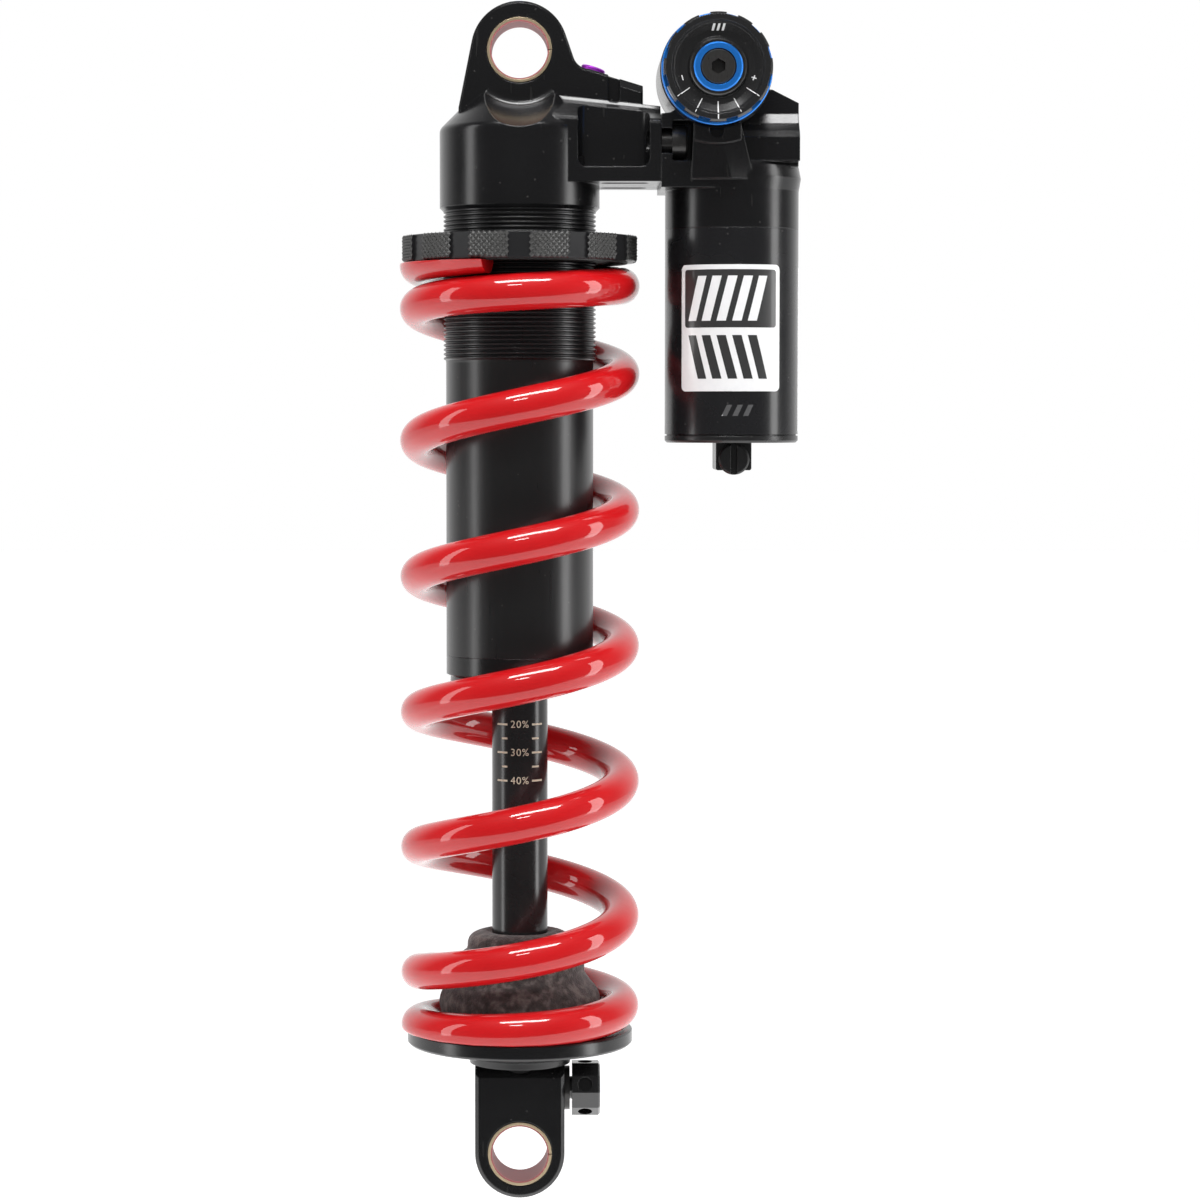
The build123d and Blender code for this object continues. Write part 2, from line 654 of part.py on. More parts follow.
# ---- reservoir manifold: bolts to the arm, holds the can below and the valve barrel ----
FLANGE_TOP = -14.9
MANIFOLD_LOW = -31.2
BLOCK_END = 62.5
SKIRT_TOP = -25.2
RECESS_START = 34.0
RECESS_END = 38.7
RECESS_HALF = 4.45
SLOT_HALF = 2.75
CORE_HALF = 12.6
CROWN_HALF = 8.2  # narrower upper part of the block
RECESS_FLOOR = 6.8
CRADLE_R = 16.3
CRADLE_BORE_R = 12.95
CRADLE_FRONT = 18.4  # towards -Y
NOTCH_R = 1.65
CAN_SPIGOT_R = 14.3
CAN_SPIGOT_TOP = -36.5
FACE_SEAL_R = 4.2
FACE_SEAL_DEPTH = 1.2
with BuildPart() as reservoir_manifold:
    # skirt that takes the can, flaring a little at its top
    turn(
        [
            (0, CAN_TOP),
            (RESERVOIR_R, CAN_TOP),
            (RESERVOIR_R, -31.5),
            (RESERVOIR_R + 0.5, -28.6),
            (RESERVOIR_R, SKIRT_TOP - 0.8),
            (RESERVOIR_R - 0.8, SKIRT_TOP),
            (0, SKIRT_TOP),
        ],
        RESERVOIR_LINE,
    )
    # bolting flange against the arm
    with BuildSketch(Plane.XZ):
        with BuildLine():
            Polyline(
                (ARM_END, MANIFOLD_LOW),
                (RESERVOIR_X, MANIFOLD_LOW),
                (RESERVOIR_X, FLANGE_TOP),
                (35.4, FLANGE_TOP + 1.4),
                (33.6, FLANGE_TOP + 0.2),
                (ARM_END, FLANGE_TOP),
                close=True,
            )
        make_face()
    extrude(amount=ARM_HALF, both=True)
    # core block on the outer side, stepped where the barrel runs through it
    with BuildSketch(Plane.XZ):
        with BuildLine():
            Polyline(
                (RESERVOIR_X - 6, SKIRT_TOP - 1),
                (BLOCK_END, SKIRT_TOP - 1),
                (BLOCK_END, -12.1),
                (56.6, -9.1),
                (RESERVOIR_X - 6, -8.0),
                close=True,
            )
        make_face()
    extrude(amount=CROWN_HALF, both=True)
    with BuildSketch(Plane.YZ.offset(RESERVOIR_X - 2)):
        with BuildLine():
            Polyline(
                (-CORE_HALF, SKIRT_TOP),
                (CORE_HALF, SKIRT_TOP),
                (CORE_HALF, -19.9),
                (11.4, -18.4),
                (9.4, -16.7),
                (CROWN_HALF, -14.5),
                (-CROWN_HALF, -14.5),
                (-9.4, -16.7),
                (-11.4, -18.4),
                (-CORE_HALF, -19.9),
                close=True,
            )
        make_face()
    extrude(amount=BLOCK_END - RESERVOIR_X + 2)
    # barrel for the compression valve, across the block
    turn(
        [
            (0, -BARREL_BACK),
            (BARREL_R - 1.2, -BARREL_BACK),
            (BARREL_R, -BARREL_BACK + 1.2),
            (BARREL_R, BARREL_FRONT),
            (0, BARREL_FRONT),
        ],
        DIAL_LINE,
    )
    # faceted neck under the dial
    for z, points in (
        (-16.6, [(38.6, -10), (38.6, -17.9), (43.3, -18.8), (48.9, -17.5), (48.9, -10)]),
        (-29.4, [(38.2, -10), (38.2, -14.6), (47.0, -17.4), (52.2, -14.4), (52.2, -10)]),
    ):
        with BuildSketch(Plane.XY.offset(z)):
            with BuildLine():
                Polyline(*points, close=True)
            make_face()
    loft(ruled=True)
    # cradle round the lower side of the dial, with the half-round index notch
    with BuildSketch(Plane.XZ.offset(BARREL_FRONT - 2)):
        with Locations((DIAL_X, DIAL_Z)):
            Circle(CRADLE_R)
            Circle(CRADLE_BORE_R, mode=Mode.SUBTRACT)
        with Locations((DIAL_X + 0.2, DIAL_Z - CRADLE_R)):
            Rectangle(10.4, 12.0, mode=Mode.INTERSECT)
    extrude(amount=CRADLE_FRONT - BARREL_FRONT + 2)
    turn(ring(0, CRADLE_BORE_R, BARREL_FRONT, CRADLE_FRONT + 3), DIAL_LINE, mode=Mode.SUBTRACT)
    with BuildSketch(Plane.XZ.offset(BARREL_FRONT + 0.6)):
        with Locations((DIAL_X, DIAL_Z - CRADLE_BORE_R - 0.4)):
            Circle(NOTCH_R)
    extrude(amount=CRADLE_FRONT, mode=Mode.SUBTRACT)
    # open slots for the bolt shanks and recesses for their heads, front and back
    for side in (-1, 1):
        with BuildSketch(Plane.YZ.offset(ARM_END)):
            with Locations((side * (BOLT_Y + 3), BOLT_Z)):
                Rectangle(6.0, 2 * SLOT_HALF)
            with Locations((side * BOLT_Y, BOLT_Z)):
                Circle(SLOT_HALF)
        extrude(amount=RECESS_START - ARM_END, mode=Mode.SUBTRACT)
        with BuildSketch(Plane.XZ.offset(side * (ARM_HALF + 1))):
            with Locations(((RECESS_START + RECESS_END) / 2, BOLT_Z)):
                RectangleRounded(RECESS_END - RECESS_START, 2 * RECESS_HALF, 0.6)
        extrude(amount=-side * (ARM_HALF + 1 - RECESS_FLOOR), mode=Mode.SUBTRACT)
    # bores: valve barrel, can thread, oil passages and the face seal at the arm
    turn(ring(0, BARREL_BORE_R, 3.5 - BARREL_BACK, BARREL_FRONT + 1), DIAL_LINE, mode=Mode.SUBTRACT)
    turn(ring(0, CAN_SPIGOT_R, CAN_TOP - 1, CAN_SPIGOT_TOP), RESERVOIR_LINE, mode=Mode.SUBTRACT)
    turn(ring(0, RESERVOIR_BORE_R, CAN_SPIGOT_TOP - 1, -33.0), RESERVOIR_LINE, mode=Mode.SUBTRACT)
    turn(ring(0, 3.0, -34.0, DIAL_Z), RESERVOIR_LINE, mode=Mode.SUBTRACT)
    with BuildSketch(Plane.YZ.offset(ARM_END - 1)):
        with Locations((0, BOLT_Z)):
            Circle(OIL_HOLE_R)
    extrude(amount=RESERVOIR_X - ARM_END + 1, mode=Mode.SUBTRACT)
    with BuildSketch(Plane.YZ.offset(ARM_END - 1)):
        with Locations((0, BOLT_Z)):
            Circle(FACE_SEAL_R)
    extrude(amount=1 + FACE_SEAL_DEPTH, mode=Mode.SUBTRACT)
write(reservoir_manifold, "reservoir_manifold")
with BuildPart() as face_seal:
    with BuildSketch(Plane.YZ.offset(ARM_END)):
        with Locations((0, BOLT_Z)):
            Circle(FACE_SEAL_R)
            Circle(OIL_HOLE_R, mode=Mode.SUBTRACT)
    extrude(amount=FACE_SEAL_DEPTH)
write(face_seal, "manifold_face_seal")

# ---- the two bolts that hold the manifold to the arm ----
BOLT_TIP = POCKET_RIGHT + 0.8
BOLT_HEAD_R = 3.7
BOLT_HEAD_END = 37.4
with BuildPart() as reservoir_bolts:
    for side in (-1, 1):
        bolt_line = Plane(origin=(0, side * BOLT_Y, BOLT_Z), x_dir=(0, 0, 1), z_dir=(0, 1, 0))
        turn(
            [
                (0, BOLT_TIP),
                (BOLT_R - 0.5, BOLT_TIP),
                (BOLT_R - RUNNING, BOLT_TIP + 0.5),
                (BOLT_R - RUNNING, RECESS_START),
                (BOLT_HEAD_R, RECESS_START),
                (BOLT_HEAD_R, BOLT_HEAD_END - 0.4),
                (BOLT_HEAD_R - 0.4, BOLT_HEAD_END),
                (0, BOLT_HEAD_END),
            ],
            bolt_line,
        )
        with BuildSketch(Plane.YZ.offset(BOLT_HEAD_END)):
            with Locations((side * BOLT_Y, BOLT_Z)):
                RegularPolygon(2.0, 6, major_radius=False)
        extrude(amount=-2.2, mode=Mode.SUBTRACT)
write(reservoir_bolts, "reservoir_bolts")

# ---- reservoir can, its end cap, the floating piston and the gas valve ----
turned_piece(
    "reservoir_can",
    [
        (RESERVOIR_BORE_R, CAN_LOW),
        (RESERVOIR_R, CAN_LOW),
        (RESERVOIR_R, CAN_TOP),
        (CAN_SPIGOT_R, CAN_TOP),
        (CAN_SPIGOT_R, CAN_SPIGOT_TOP),
        (RESERVOIR_BORE_R, CAN_SPIGOT_TOP),
    ],
    RESERVOIR_LINE,
)
CAP_SPIGOT_TOP = -79.5
CAP_GROOVE_R = 12.1
CAP_GROOVE_LOW = -84.4
CAP_GROOVE_TOP = -82.0
BOSS_LOW = -94.2
BOSS_HALF_DEPTH = 7.6
PLUG_Z = -91.7
PLUG_HEAD_R = 3.5
PLUG_R = 2.5
with BuildPart() as reservoir_cap:
    turn(
        [
            (0, CAP_LOW),
            (RESERVOIR_R - 0.5, CAP_LOW),
            (RESERVOIR_R, CAP_LOW + 0.5),
            (RESERVOIR_R, CAN_LOW - 0.35),
            (RESERVOIR_R - 0.4, CAN_LOW - 0.35),
            (RESERVOIR_R - 0.4, CAN_LOW),
            (RESERVOIR_BORE_R, CAN_LOW),
            (RESERVOIR_BORE_R, CAP_GROOVE_LOW),
            (CAP_GROOVE_R, CAP_GROOVE_LOW),
            (CAP_GROOVE_R, CAP_GROOVE_TOP),
            (RESERVOIR_BORE_R, CAP_GROOVE_TOP),
            (RESERVOIR_BORE_R, CAP_SPIGOT_TOP),
            (10.5, CAP_SPIGOT_TOP),
            (10.5, CAN_LOW + 0.8),
            (0, CAN_LOW + 0.8),
        ],
        RESERVOIR_LINE,
    )
    # boss across the bottom that takes the gas valve
    with BuildSketch(Plane.XZ):
        with Locations((RESERVOIR_X + 0.17, (BOSS_LOW + CAP_LOW) / 2)):
            Rectangle(8.0, CAP_LOW - BOSS_LOW)
    extrude(amount=BOSS_HALF_DEPTH, both=True)
    fillet(reservoir_cap.edges().filter_by(Axis.Y).group_by(Axis.Z)[0], 0.5)
    valve_line = Plane(origin=(RESERVOIR_X + 0.17, 0, PLUG_Z), x_dir=(1, 0, 0), z_dir=(0, 0, -1))
    turn(ring(0, PLUG_R, -4.0, BOSS_HALF_DEPTH + 1), valve_line, mode=Mode.SUBTRACT)
    with BuildSketch(Plane.XY.offset(PLUG_Z)):
        with Locations((RESERVOIR_X, 1.5)):
            Circle(0.8)
    extrude(amount=CAN_LOW + 1.8 - PLUG_Z, mode=Mode.SUBTRACT)
write(reservoir_cap, "reservoir_cap")
turned_piece(
    "reservoir_cap_o_ring",
    ring(CAP_GROOVE_R, RESERVOIR_BORE_R, CAP_GROOVE_LOW, CAP_GROOVE_TOP),
    RESERVOIR_LINE,
)
with BuildPart() as gas_valve_plug:
    turn(
        [
            (0, 3.6),
            (PLUG_R, 3.6),
            (PLUG_R, BOSS_HALF_DEPTH),
            (PLUG_HEAD_R, BOSS_HALF_DEPTH),
            (PLUG_HEAD_R, BOSS_HALF_DEPTH + 1.2),
            (PLUG_HEAD_R - 0.4, BOSS_HALF_DEPTH + 1.6),
            (0, BOSS_HALF_DEPTH + 1.6),
        ],
        valve_line,
    )
    with Locations((RESERVOIR_X + 0.17, -BOSS_HALF_DEPTH - 1.6, PLUG_Z)):
        Box(1.4, 2.2, 3 * PLUG_HEAD_R, mode=Mode.SUBTRACT)
write(gas_valve_plug, "gas_valve_plug")
turned_piece(
    "gas_valve_core",
    [(0.5, -2.8), (PLUG_R, -2.8), (PLUG_R, 1.0), (1.5, 1.0), (1.5, 2.6), (0.5, 2.6)],
    valve_line,
)

FLOAT_TOP = -47.0
FLOAT_LOW = -57.0
FLOAT_R = RESERVOIR_BORE_R - RUNNING
FLOAT_GROOVE_R = 11.9
FLOAT_GROOVE_LOW = -53.4
FLOAT_GROOVE_TOP = -50.6
turned_piece(
    "floating_piston",
    [
        (0, FLOAT_TOP),
        (FLOAT_R - 0.5, FLOAT_TOP),
        (FLOAT_R, FLOAT_TOP - 0.5),
        (FLOAT_R, FLOAT_GROOVE_TOP),
        (FLOAT_GROOVE_R, FLOAT_GROOVE_TOP),
        (FLOAT_GROOVE_R, FLOAT_GROOVE_LOW),
        (FLOAT_R, FLOAT_GROOVE_LOW),
        (FLOAT_R, FLOAT_LOW),
        (10.4, FLOAT_LOW),
        (10.4, FLOAT_TOP - 2.5),
        (0, FLOAT_TOP - 2.5),
    ],
    RESERVOIR_LINE,
)
turned_piece(
    "floating_piston_seal",
    ring(FLOAT_GROOVE_R, FLOAT_R, FLOAT_GROOVE_LOW, FLOAT_GROOVE_TOP),
    RESERVOIR_LINE,
)

# ---- compression valve in the barrel: cartridge, base valve and shims ----
FLANGE_FRONT = BARREL_FRONT + 0.5
SPINDLE_BORE_R = 4.0
HIGH_SPINDLE_R = 2.6
turned_piece(
    "compression_cartridge",
    [
        (7.5, 4.0 - BARREL_BACK),
        (BARREL_BORE_R, 4.0 - BARREL_BACK),
        (BARREL_BORE_R, BARREL_FRONT),
        (BARREL_BORE_R + 1.6, BARREL_FRONT),
        (BARREL_BORE_R + 1.6, FLANGE_FRONT),
        (SPINDLE_BORE_R + RUNNING, FLANGE_FRONT),
        (SPINDLE_BORE_R + RUNNING, 8.0),
        (7.5, 8.0),
    ],
    DIAL_LINE,
)
with BuildPart() as base_valve:
    turn(
        [
            (0, -7.0),
            (7.5, -7.0),
            (7.5, -2.0),
            (3.0, -2.0),
            (3.0, 2.0),
            (0, 2.0),
        ],
        DIAL_LINE,
    )
    with BuildSketch(Plane.XZ.offset(-8.0)):
        with Locations((DIAL_X, DIAL_Z)):
            with PolarLocations(5.2, 6):
                Circle(1.1)
    extrude(amount=8.0, mode=Mode.SUBTRACT)
write(base_valve, "base_valve")
turned_piece("base_valve_shims", ring(3.0, 6.8, -2.0, -1.2), DIAL_LINE)

# ---- low-speed dial: castellated black dial on a blue ring ----
DIAL_BACK = 18.6
DIAL_FRONT = 24.0
DIAL_NOTCHES = 12
with BuildPart() as low_speed_dial:
    turn(
        [
            (HIGH_SPINDLE_R + RUNNING, 9.0),
            (SPINDLE_BORE_R, 9.0),
            (SPINDLE_BORE_R, DIAL_BACK),
            (DIAL_R, DIAL_BACK),
            (DIAL_R, DIAL_FRONT - 0.5),
            (DIAL_R - 0.5, DIAL_FRONT),
            (10.3, DIAL_FRONT),
            (9.7, DIAL_FRONT - 0.7),
            (8.2, DIAL_FRONT - 1.3),
            (6.7, DIAL_FRONT - 1.5),
            (6.3, DIAL_FRONT - 0.4),
            (6.0, DIAL_FRONT - 0.1),
            (5.45, DIAL_FRONT - 0.1),
            (5.45, 20.6),
            (HIGH_SPINDLE_R + RUNNING, 20.6),
        ],
        DIAL_LINE,
    )
    with BuildSketch(Plane.XZ.offset(DIAL_BACK - 1)):
        with Locations((DIAL_X, DIAL_Z)):
            with PolarLocations(DIAL_R + 0.4, DIAL_NOTCHES, start_angle=15):
                Rectangle(1.8, 2.6)
    extrude(amount=DIAL_FRONT - DIAL_BACK + 2, mode=Mode.SUBTRACT)
write(low_speed_dial, "low_speed_dial")
turned_piece(
    "low_speed_ring",
    [
        (SPINDLE_BORE_R, FLANGE_FRONT + 0.2),
        (DIAL_R, FLANGE_FRONT + 0.2),
        (DIAL_R + 0.3, FLANGE_FRONT + 0.5),
        (DIAL_R + 0.3, DIAL_BACK - 0.2),
        (DIAL_R + 0.1, DIAL_BACK),
        (SPINDLE_BORE_R, DIAL_BACK),
    ],
    DIAL_LINE,
)

# ---- high-speed adjuster: hex screw in a blue ring at the dial's centre ----
with BuildPart() as high_speed_screw:
    turn(
        [
            (0, 3.0),
            (HIGH_SPINDLE_R, 3.0),
            (HIGH_SPINDLE_R, 22.0),
            (SPINDLE_BORE_R, 22.0),
            (SPINDLE_BORE_R, DIAL_FRONT - 0.2),
            (SPINDLE_BORE_R - 0.4, DIAL_FRONT + 0.2),
            (0, DIAL_FRONT + 0.2),
        ],
        DIAL_LINE,
    )
    with BuildSketch(Plane.XZ.offset(DIAL_FRONT + 0.2)):
        with Locations((DIAL_X, DIAL_Z)):
            RegularPolygon(1.5, 6, major_radius=False, rotation=30)
    extrude(amount=-2.0, mode=Mode.SUBTRACT)
write(high_speed_screw, "high_speed_screw")
turned_piece(
    "high_speed_ring",
    [
        (HIGH_SPINDLE_R, 20.7),
        (5.4, 20.7),
        (5.4, DIAL_FRONT - 0.1),
        (5.1, DIAL_FRONT + 0.2),
        (SPINDLE_BORE_R, DIAL_FRONT + 0.2),
        (SPINDLE_BORE_R, 22.0),
        (HIGH_SPINDLE_R, 22.0),
    ],
    DIAL_LINE,
)

# ---- bottom-out dial on the head's sloping roof ----
with BuildPart() as bottom_out_dial:
    with BuildSketch(dial_seat.offset(-5.6)):
        Circle(1.8)
    extrude(amount=5.7)
    with BuildSketch(dial_seat.offset(0.1)):
        Circle(2.75)
    extrude(amount=1.1)
    chamfer(bottom_out_dial.edges().filter_by(GeomType.CIRCLE).sort_by(Axis.Z)[-1], 0.25)
    with BuildSketch(dial_seat.offset(1.2)):
        RegularPolygon(1.0, 6, major_radius=False)
    extrude(amount=-0.9, mode=Mode.SUBTRACT)
write(bottom_out_dial, "bottom_out_dial")
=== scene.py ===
import math

import bmesh
import bpy
from mathutils import Matrix, Vector, noise


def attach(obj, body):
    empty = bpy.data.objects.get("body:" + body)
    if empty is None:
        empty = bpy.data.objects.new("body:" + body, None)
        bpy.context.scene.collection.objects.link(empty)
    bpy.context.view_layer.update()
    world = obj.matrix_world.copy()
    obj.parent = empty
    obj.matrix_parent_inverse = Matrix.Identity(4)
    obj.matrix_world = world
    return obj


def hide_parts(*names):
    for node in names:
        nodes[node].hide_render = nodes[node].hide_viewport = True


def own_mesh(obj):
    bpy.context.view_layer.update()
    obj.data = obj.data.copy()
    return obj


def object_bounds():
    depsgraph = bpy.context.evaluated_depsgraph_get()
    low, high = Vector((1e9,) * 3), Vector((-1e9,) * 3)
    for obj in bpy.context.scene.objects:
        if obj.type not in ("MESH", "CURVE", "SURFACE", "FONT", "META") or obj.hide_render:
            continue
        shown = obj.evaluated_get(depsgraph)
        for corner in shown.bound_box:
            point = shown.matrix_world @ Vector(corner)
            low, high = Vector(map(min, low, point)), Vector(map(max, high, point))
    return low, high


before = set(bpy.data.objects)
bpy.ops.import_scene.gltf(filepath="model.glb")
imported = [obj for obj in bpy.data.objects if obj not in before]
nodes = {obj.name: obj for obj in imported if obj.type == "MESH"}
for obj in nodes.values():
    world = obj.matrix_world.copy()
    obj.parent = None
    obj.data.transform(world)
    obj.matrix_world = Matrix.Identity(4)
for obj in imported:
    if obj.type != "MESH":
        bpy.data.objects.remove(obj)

cad_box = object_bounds()


# ---------------------------------------------------------------- studio
# A white sweep under soft light: a pale floor well below the shock, white sides and back, a grey
# front so that the black parts keep their depth, and tall softboxes for the streaks of gloss.
FLOOR_DROP = 0.20  # m below the lowest point
CAMERA_PLACE = (0.004257, -0.77724, -0.08278)
TILT_DOWN = 3.025  # degrees
LENS = 102.475
SHIFT_ASIDE = 0.05127
LIT_POINT = (0.015, 0.0, -0.12)  # middle of the shock, which every light faces


def softbox(name, place, width, height, brightness, glossy=True):
    """A rectangular soft light that faces the middle of the shock."""
    data = bpy.data.lights.new(name, "AREA")
    data.shape = "RECTANGLE"
    data.size = width
    data.size_y = height
    data.energy = brightness * math.pi * width * height
    light = bpy.data.objects.new(name, data)
    turn = (Vector(LIT_POINT) - Vector(place)).to_track_quat("-Z", "Y")
    light.matrix_world = Matrix.Translation(place) @ turn.to_matrix().to_4x4()
    bpy.context.scene.collection.objects.link(light)
    light.visible_camera = False
    light.visible_glossy = glossy


camera = bpy.data.objects.new("camera", bpy.data.cameras.new("camera"))
camera.data.sensor_width = 36.0
camera.data.lens = LENS
camera.data.shift_x = SHIFT_ASIDE
camera.data.clip_start = 0.01
camera.location = CAMERA_PLACE
camera.rotation_euler = (math.radians(90 - TILT_DOWN), 0, 0)
bpy.context.scene.collection.objects.link(camera)
bpy.context.scene.camera = camera
bpy.context.scene.view_settings.view_transform = "Standard"

softbox("left_softbox", (-0.80, -0.22, -0.02), 0.18, 1.1, 3.8)
softbox("right_softbox", (0.85, -0.20, -0.02), 0.22, 1.1, 5.5)
softbox("top_softbox", (0.0, -0.35, 0.75), 0.6, 0.20, 24.0)
softbox("front_strip", (-0.10, -0.75, 0.60), 0.20, 0.08, 30.0)
softbox("front_fill", (0.1, -1.2, 0.25), 1.2, 1.2, 0.9, False)


# ---------------------------------------------------------------- satin black alloy
# The head, manifold, eyelet, caps and retainer are machined alloy, blasted and anodised black: a
# satin skin with a very fine grain, edges broken by hand and a few pale specks of dust.
BARE_CELLS = 0.72  # share of the cells that hold no speck
DUST = (0.17, 0.165, 0.155)
SCRATCH_STRETCH = (1.0, 1.0, 0.12)


class Socket:
    """A node's output that takes part in sums, each of which adds a Math node."""

    def __init__(self, tree, link):
        self.tree = tree
        self.link = link

    def maths(self, operation, *values):
        return add_node(self.tree, "ShaderNodeMath", {"operation": operation}, dict(enumerate(values)))

    def floor(self):
        return self.maths("FLOOR", self)

    def sine(self):
        return self.maths("SINE", self)

    def cosine(self):
        return self.maths("COSINE", self)

    def at_least(self, lowest):
        return self.maths("MAXIMUM", self, lowest)

    def __add__(self, other):
        return self.maths("ADD", self, other)

    def __radd__(self, other):
        return self.maths("ADD", other, self)

    def __sub__(self, other):
        return self.maths("SUBTRACT", self, other)

    def __rsub__(self, other):
        return self.maths("SUBTRACT", other, self)

    def __mul__(self, other):
        return self.maths("MULTIPLY", self, other)

    def __rmul__(self, other):
        return self.maths("MULTIPLY", other, self)

    def __truediv__(self, other):
        return self.maths("DIVIDE", self, other)

    def __gt__(self, other):
        return self.maths("GREATER_THAN", self, other)

    def __lt__(self, other):
        return self.maths("LESS_THAN", self, other)


def give(tree, slot, value):
    """Links a socket, or sets its own value."""
    if isinstance(value, Socket):
        tree.links.new(value.link, slot)
    elif isinstance(value, tuple) and len(value) == 3 and slot.type == "RGBA":
        slot.default_value = (*value, 1)
    else:
        slot.default_value = value


def add_node(tree, kind, settings=None, values=None, output=0):
    """Adds a node of any kind: its settings, then the values or links of its sockets."""
    node = tree.nodes.new(kind)
    for key, value in (settings or {}).items():
        if key == "stops":
            stops = node.color_ramp.elements
            while len(stops) < len(value):
                stops.new(0.5)
            for stop, (at, colour) in zip(stops, value):
                stop.position = at
                stop.color = (*colour, 1)
        else:
            setattr(node, key, value)
    for key, value in (values or {}).items():
        give(tree, node.inputs[key], value)
    return Socket(tree, node.outputs[output])


class Finish:
    """A material: fixed values on the shader's own sockets, patterns linked to them."""

    def __init__(self, name, **fixed):
        self.material = bpy.data.materials.new(name)
        self.material.use_nodes = True
        self.tree = self.material.node_tree
        self.shader = self.tree.nodes["Principled BSDF"].inputs
        for key, value in fixed.items():
            give(self.tree, self.shader[key.replace("_", " ").title().replace("Ior", "IOR")], value)

    def node(self, kind, settings=None, values=None, output=0):
        return add_node(self.tree, kind, settings, values, output)

    def place(self, stretch=None):
        here = self.node("ShaderNodeTexCoord", output="Object")
        if stretch:
            here = self.node("ShaderNodeMapping", values={"Vector": here, "Scale": stretch})
        return here

    def clouds(self, per_metre, detail=2.0, stretch=None):
        """Smooth noise round 0.5."""
        values = {"Vector": self.place(stretch), "Scale": per_metre, "Detail": detail}
        return self.node("ShaderNodeTexNoise", values=values)

    def ramp(self, factor, *stops):
        return self.node("ShaderNodeValToRGB", {"stops": stops}, {"Fac": factor})

    def mix(self, share, first, second):
        return self.node("ShaderNodeMix", {"data_type": "RGBA"}, {0: share, 6: first, 7: second}, 2)

    def set(self, socket, value):
        give(self.tree, self.shader[socket], value)

    def relief(self, height, depth, edge=0.0):
        """Bump of the given depth in metres, on edges softened over the given radius."""
        values = {"Height": height, "Distance": depth}
        if edge:
            values["Normal"] = self.node("ShaderNodeBevel", {"samples": 4}, {"Radius": edge})
        self.set("Normal", self.node("ShaderNodeBump", values=values))

    def specks(self, per_metre, share):
        """Sparse small dots: 1 on a speck, 0 off it. Share is a dot's radius against a cell."""
        cells = self.node("ShaderNodeTexVoronoi", values={"Vector": self.place(), "Scale": per_metre})
        picked = self.node(
            "ShaderNodeTexVoronoi", values={"Vector": self.place(), "Scale": per_metre}, output="Color"
        )
        chance = self.node("ShaderNodeSeparateColor", values={"Color": picked})
        return (cells < share) * (chance > BARE_CELLS)

    def dress(self, *names):
        """Gives whole CAD pieces this material."""
        for name in names:
            mesh = nodes[name].data
            mesh.materials.clear()
            mesh.materials.append(self.material)


def black_alloy(name, colour, roughness, edge=0.0004, grain=6500.0, dust=0.12):
    """Anodised alloy: clouds in its gloss, blasted grain and pale dust."""
    finish = Finish(name)
    clouds = finish.clouds(140.0, 3.0)
    dusty = finish.specks(520.0, dust) * 0.16
    scratch = finish.clouds(900.0, 1.0, SCRATCH_STRETCH) > 0.74
    finish.set("Base Color", finish.mix(dusty + scratch * 0.05, colour, DUST))
    finish.set("Roughness", roughness - 0.05 + clouds * 0.1)
    finish.relief(finish.clouds(grain, 2.0), 0.000006, edge)
    return finish


black_alloy("head_black", (0.006, 0.006, 0.0065), 0.22).dress(
    "damper_head", "reservoir_manifold", "lower_eyelet", "seal_head", "spring_retainer"
)


# ---------------------------------------------------------------- damper tube and shaft
# The tube is drawn alloy, anodised a smoother black over its thread. The shaft is ground steel
# with a hard black coating, polished by the wiper, and carries a printed scale.
DRAWN_ALONG = (1.0, 1.0, 0.06)  # the tube's fine lines run along it
GROUND_ROUND = (0.12, 0.12, 1.0)  # the shaft's run round it
SHAFT_R = 0.00635
SCALE_TENS = (("20%", -0.1518), ("30%", -0.1582), ("40%", -0.1646))
SCALE_GAP = 0.0032
SCALE_LINE = 0.00042
LONG_LINES = ((-0.0058, -0.0029), (0.0029, 0.0058))  # ends of the lines beside a numeral
SHORT_LINES = ((-0.0044, -0.0029), (0.0029, 0.0048))  # and of those halfway to the next
NUMERAL_HEIGHT = 0.0017
INK_PROUD = 0.00002


def new_piece(name, mesh, body, slot, *finishes):
    """Links a mesh as a piece that rides on a body, in its finishes."""
    piece = bpy.data.objects.new(name, mesh)
    bpy.context.scene.collection.objects.link(piece)
    mesh.materials.clear()
    for finish in finishes:
        mesh.materials.append(finish.material)
    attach(piece, body)
    return piece


def flat_letters(text, height, place, turn=0.0):
    """Numerals as flat triangles, centred on a place in their own plane."""
    curve = bpy.data.curves.new("numerals", "FONT")
    curve.body = text
    curve.size = height / 0.72
    curve.space_character = 1.12
    curve.align_x = "CENTER"
    curve.align_y = "CENTER"
    curve.resolution_u = 4
    writing = bpy.data.objects.new("numerals", curve)
    mesh = bpy.data.meshes.new_from_object(writing)
    bpy.data.objects.remove(writing)
    mesh.transform(Matrix.Translation((*place, 0)) @ Matrix.Rotation(turn, 4, "Z"))
    return mesh


def flat_shape(corners):
    """A filled flat outline."""
    mesh = bpy.data.meshes.new("outline")
    mesh.from_pydata([(x, y, 0) for x, y in corners], [], [list(range(len(corners)))])
    return mesh


def bar(left, right, low, high, lean=0.0):
    """Corners of a bar, its top shifted sideways by lean."""
    return [(left, low), (right, low), (right + lean, high), (left + lean, high)]


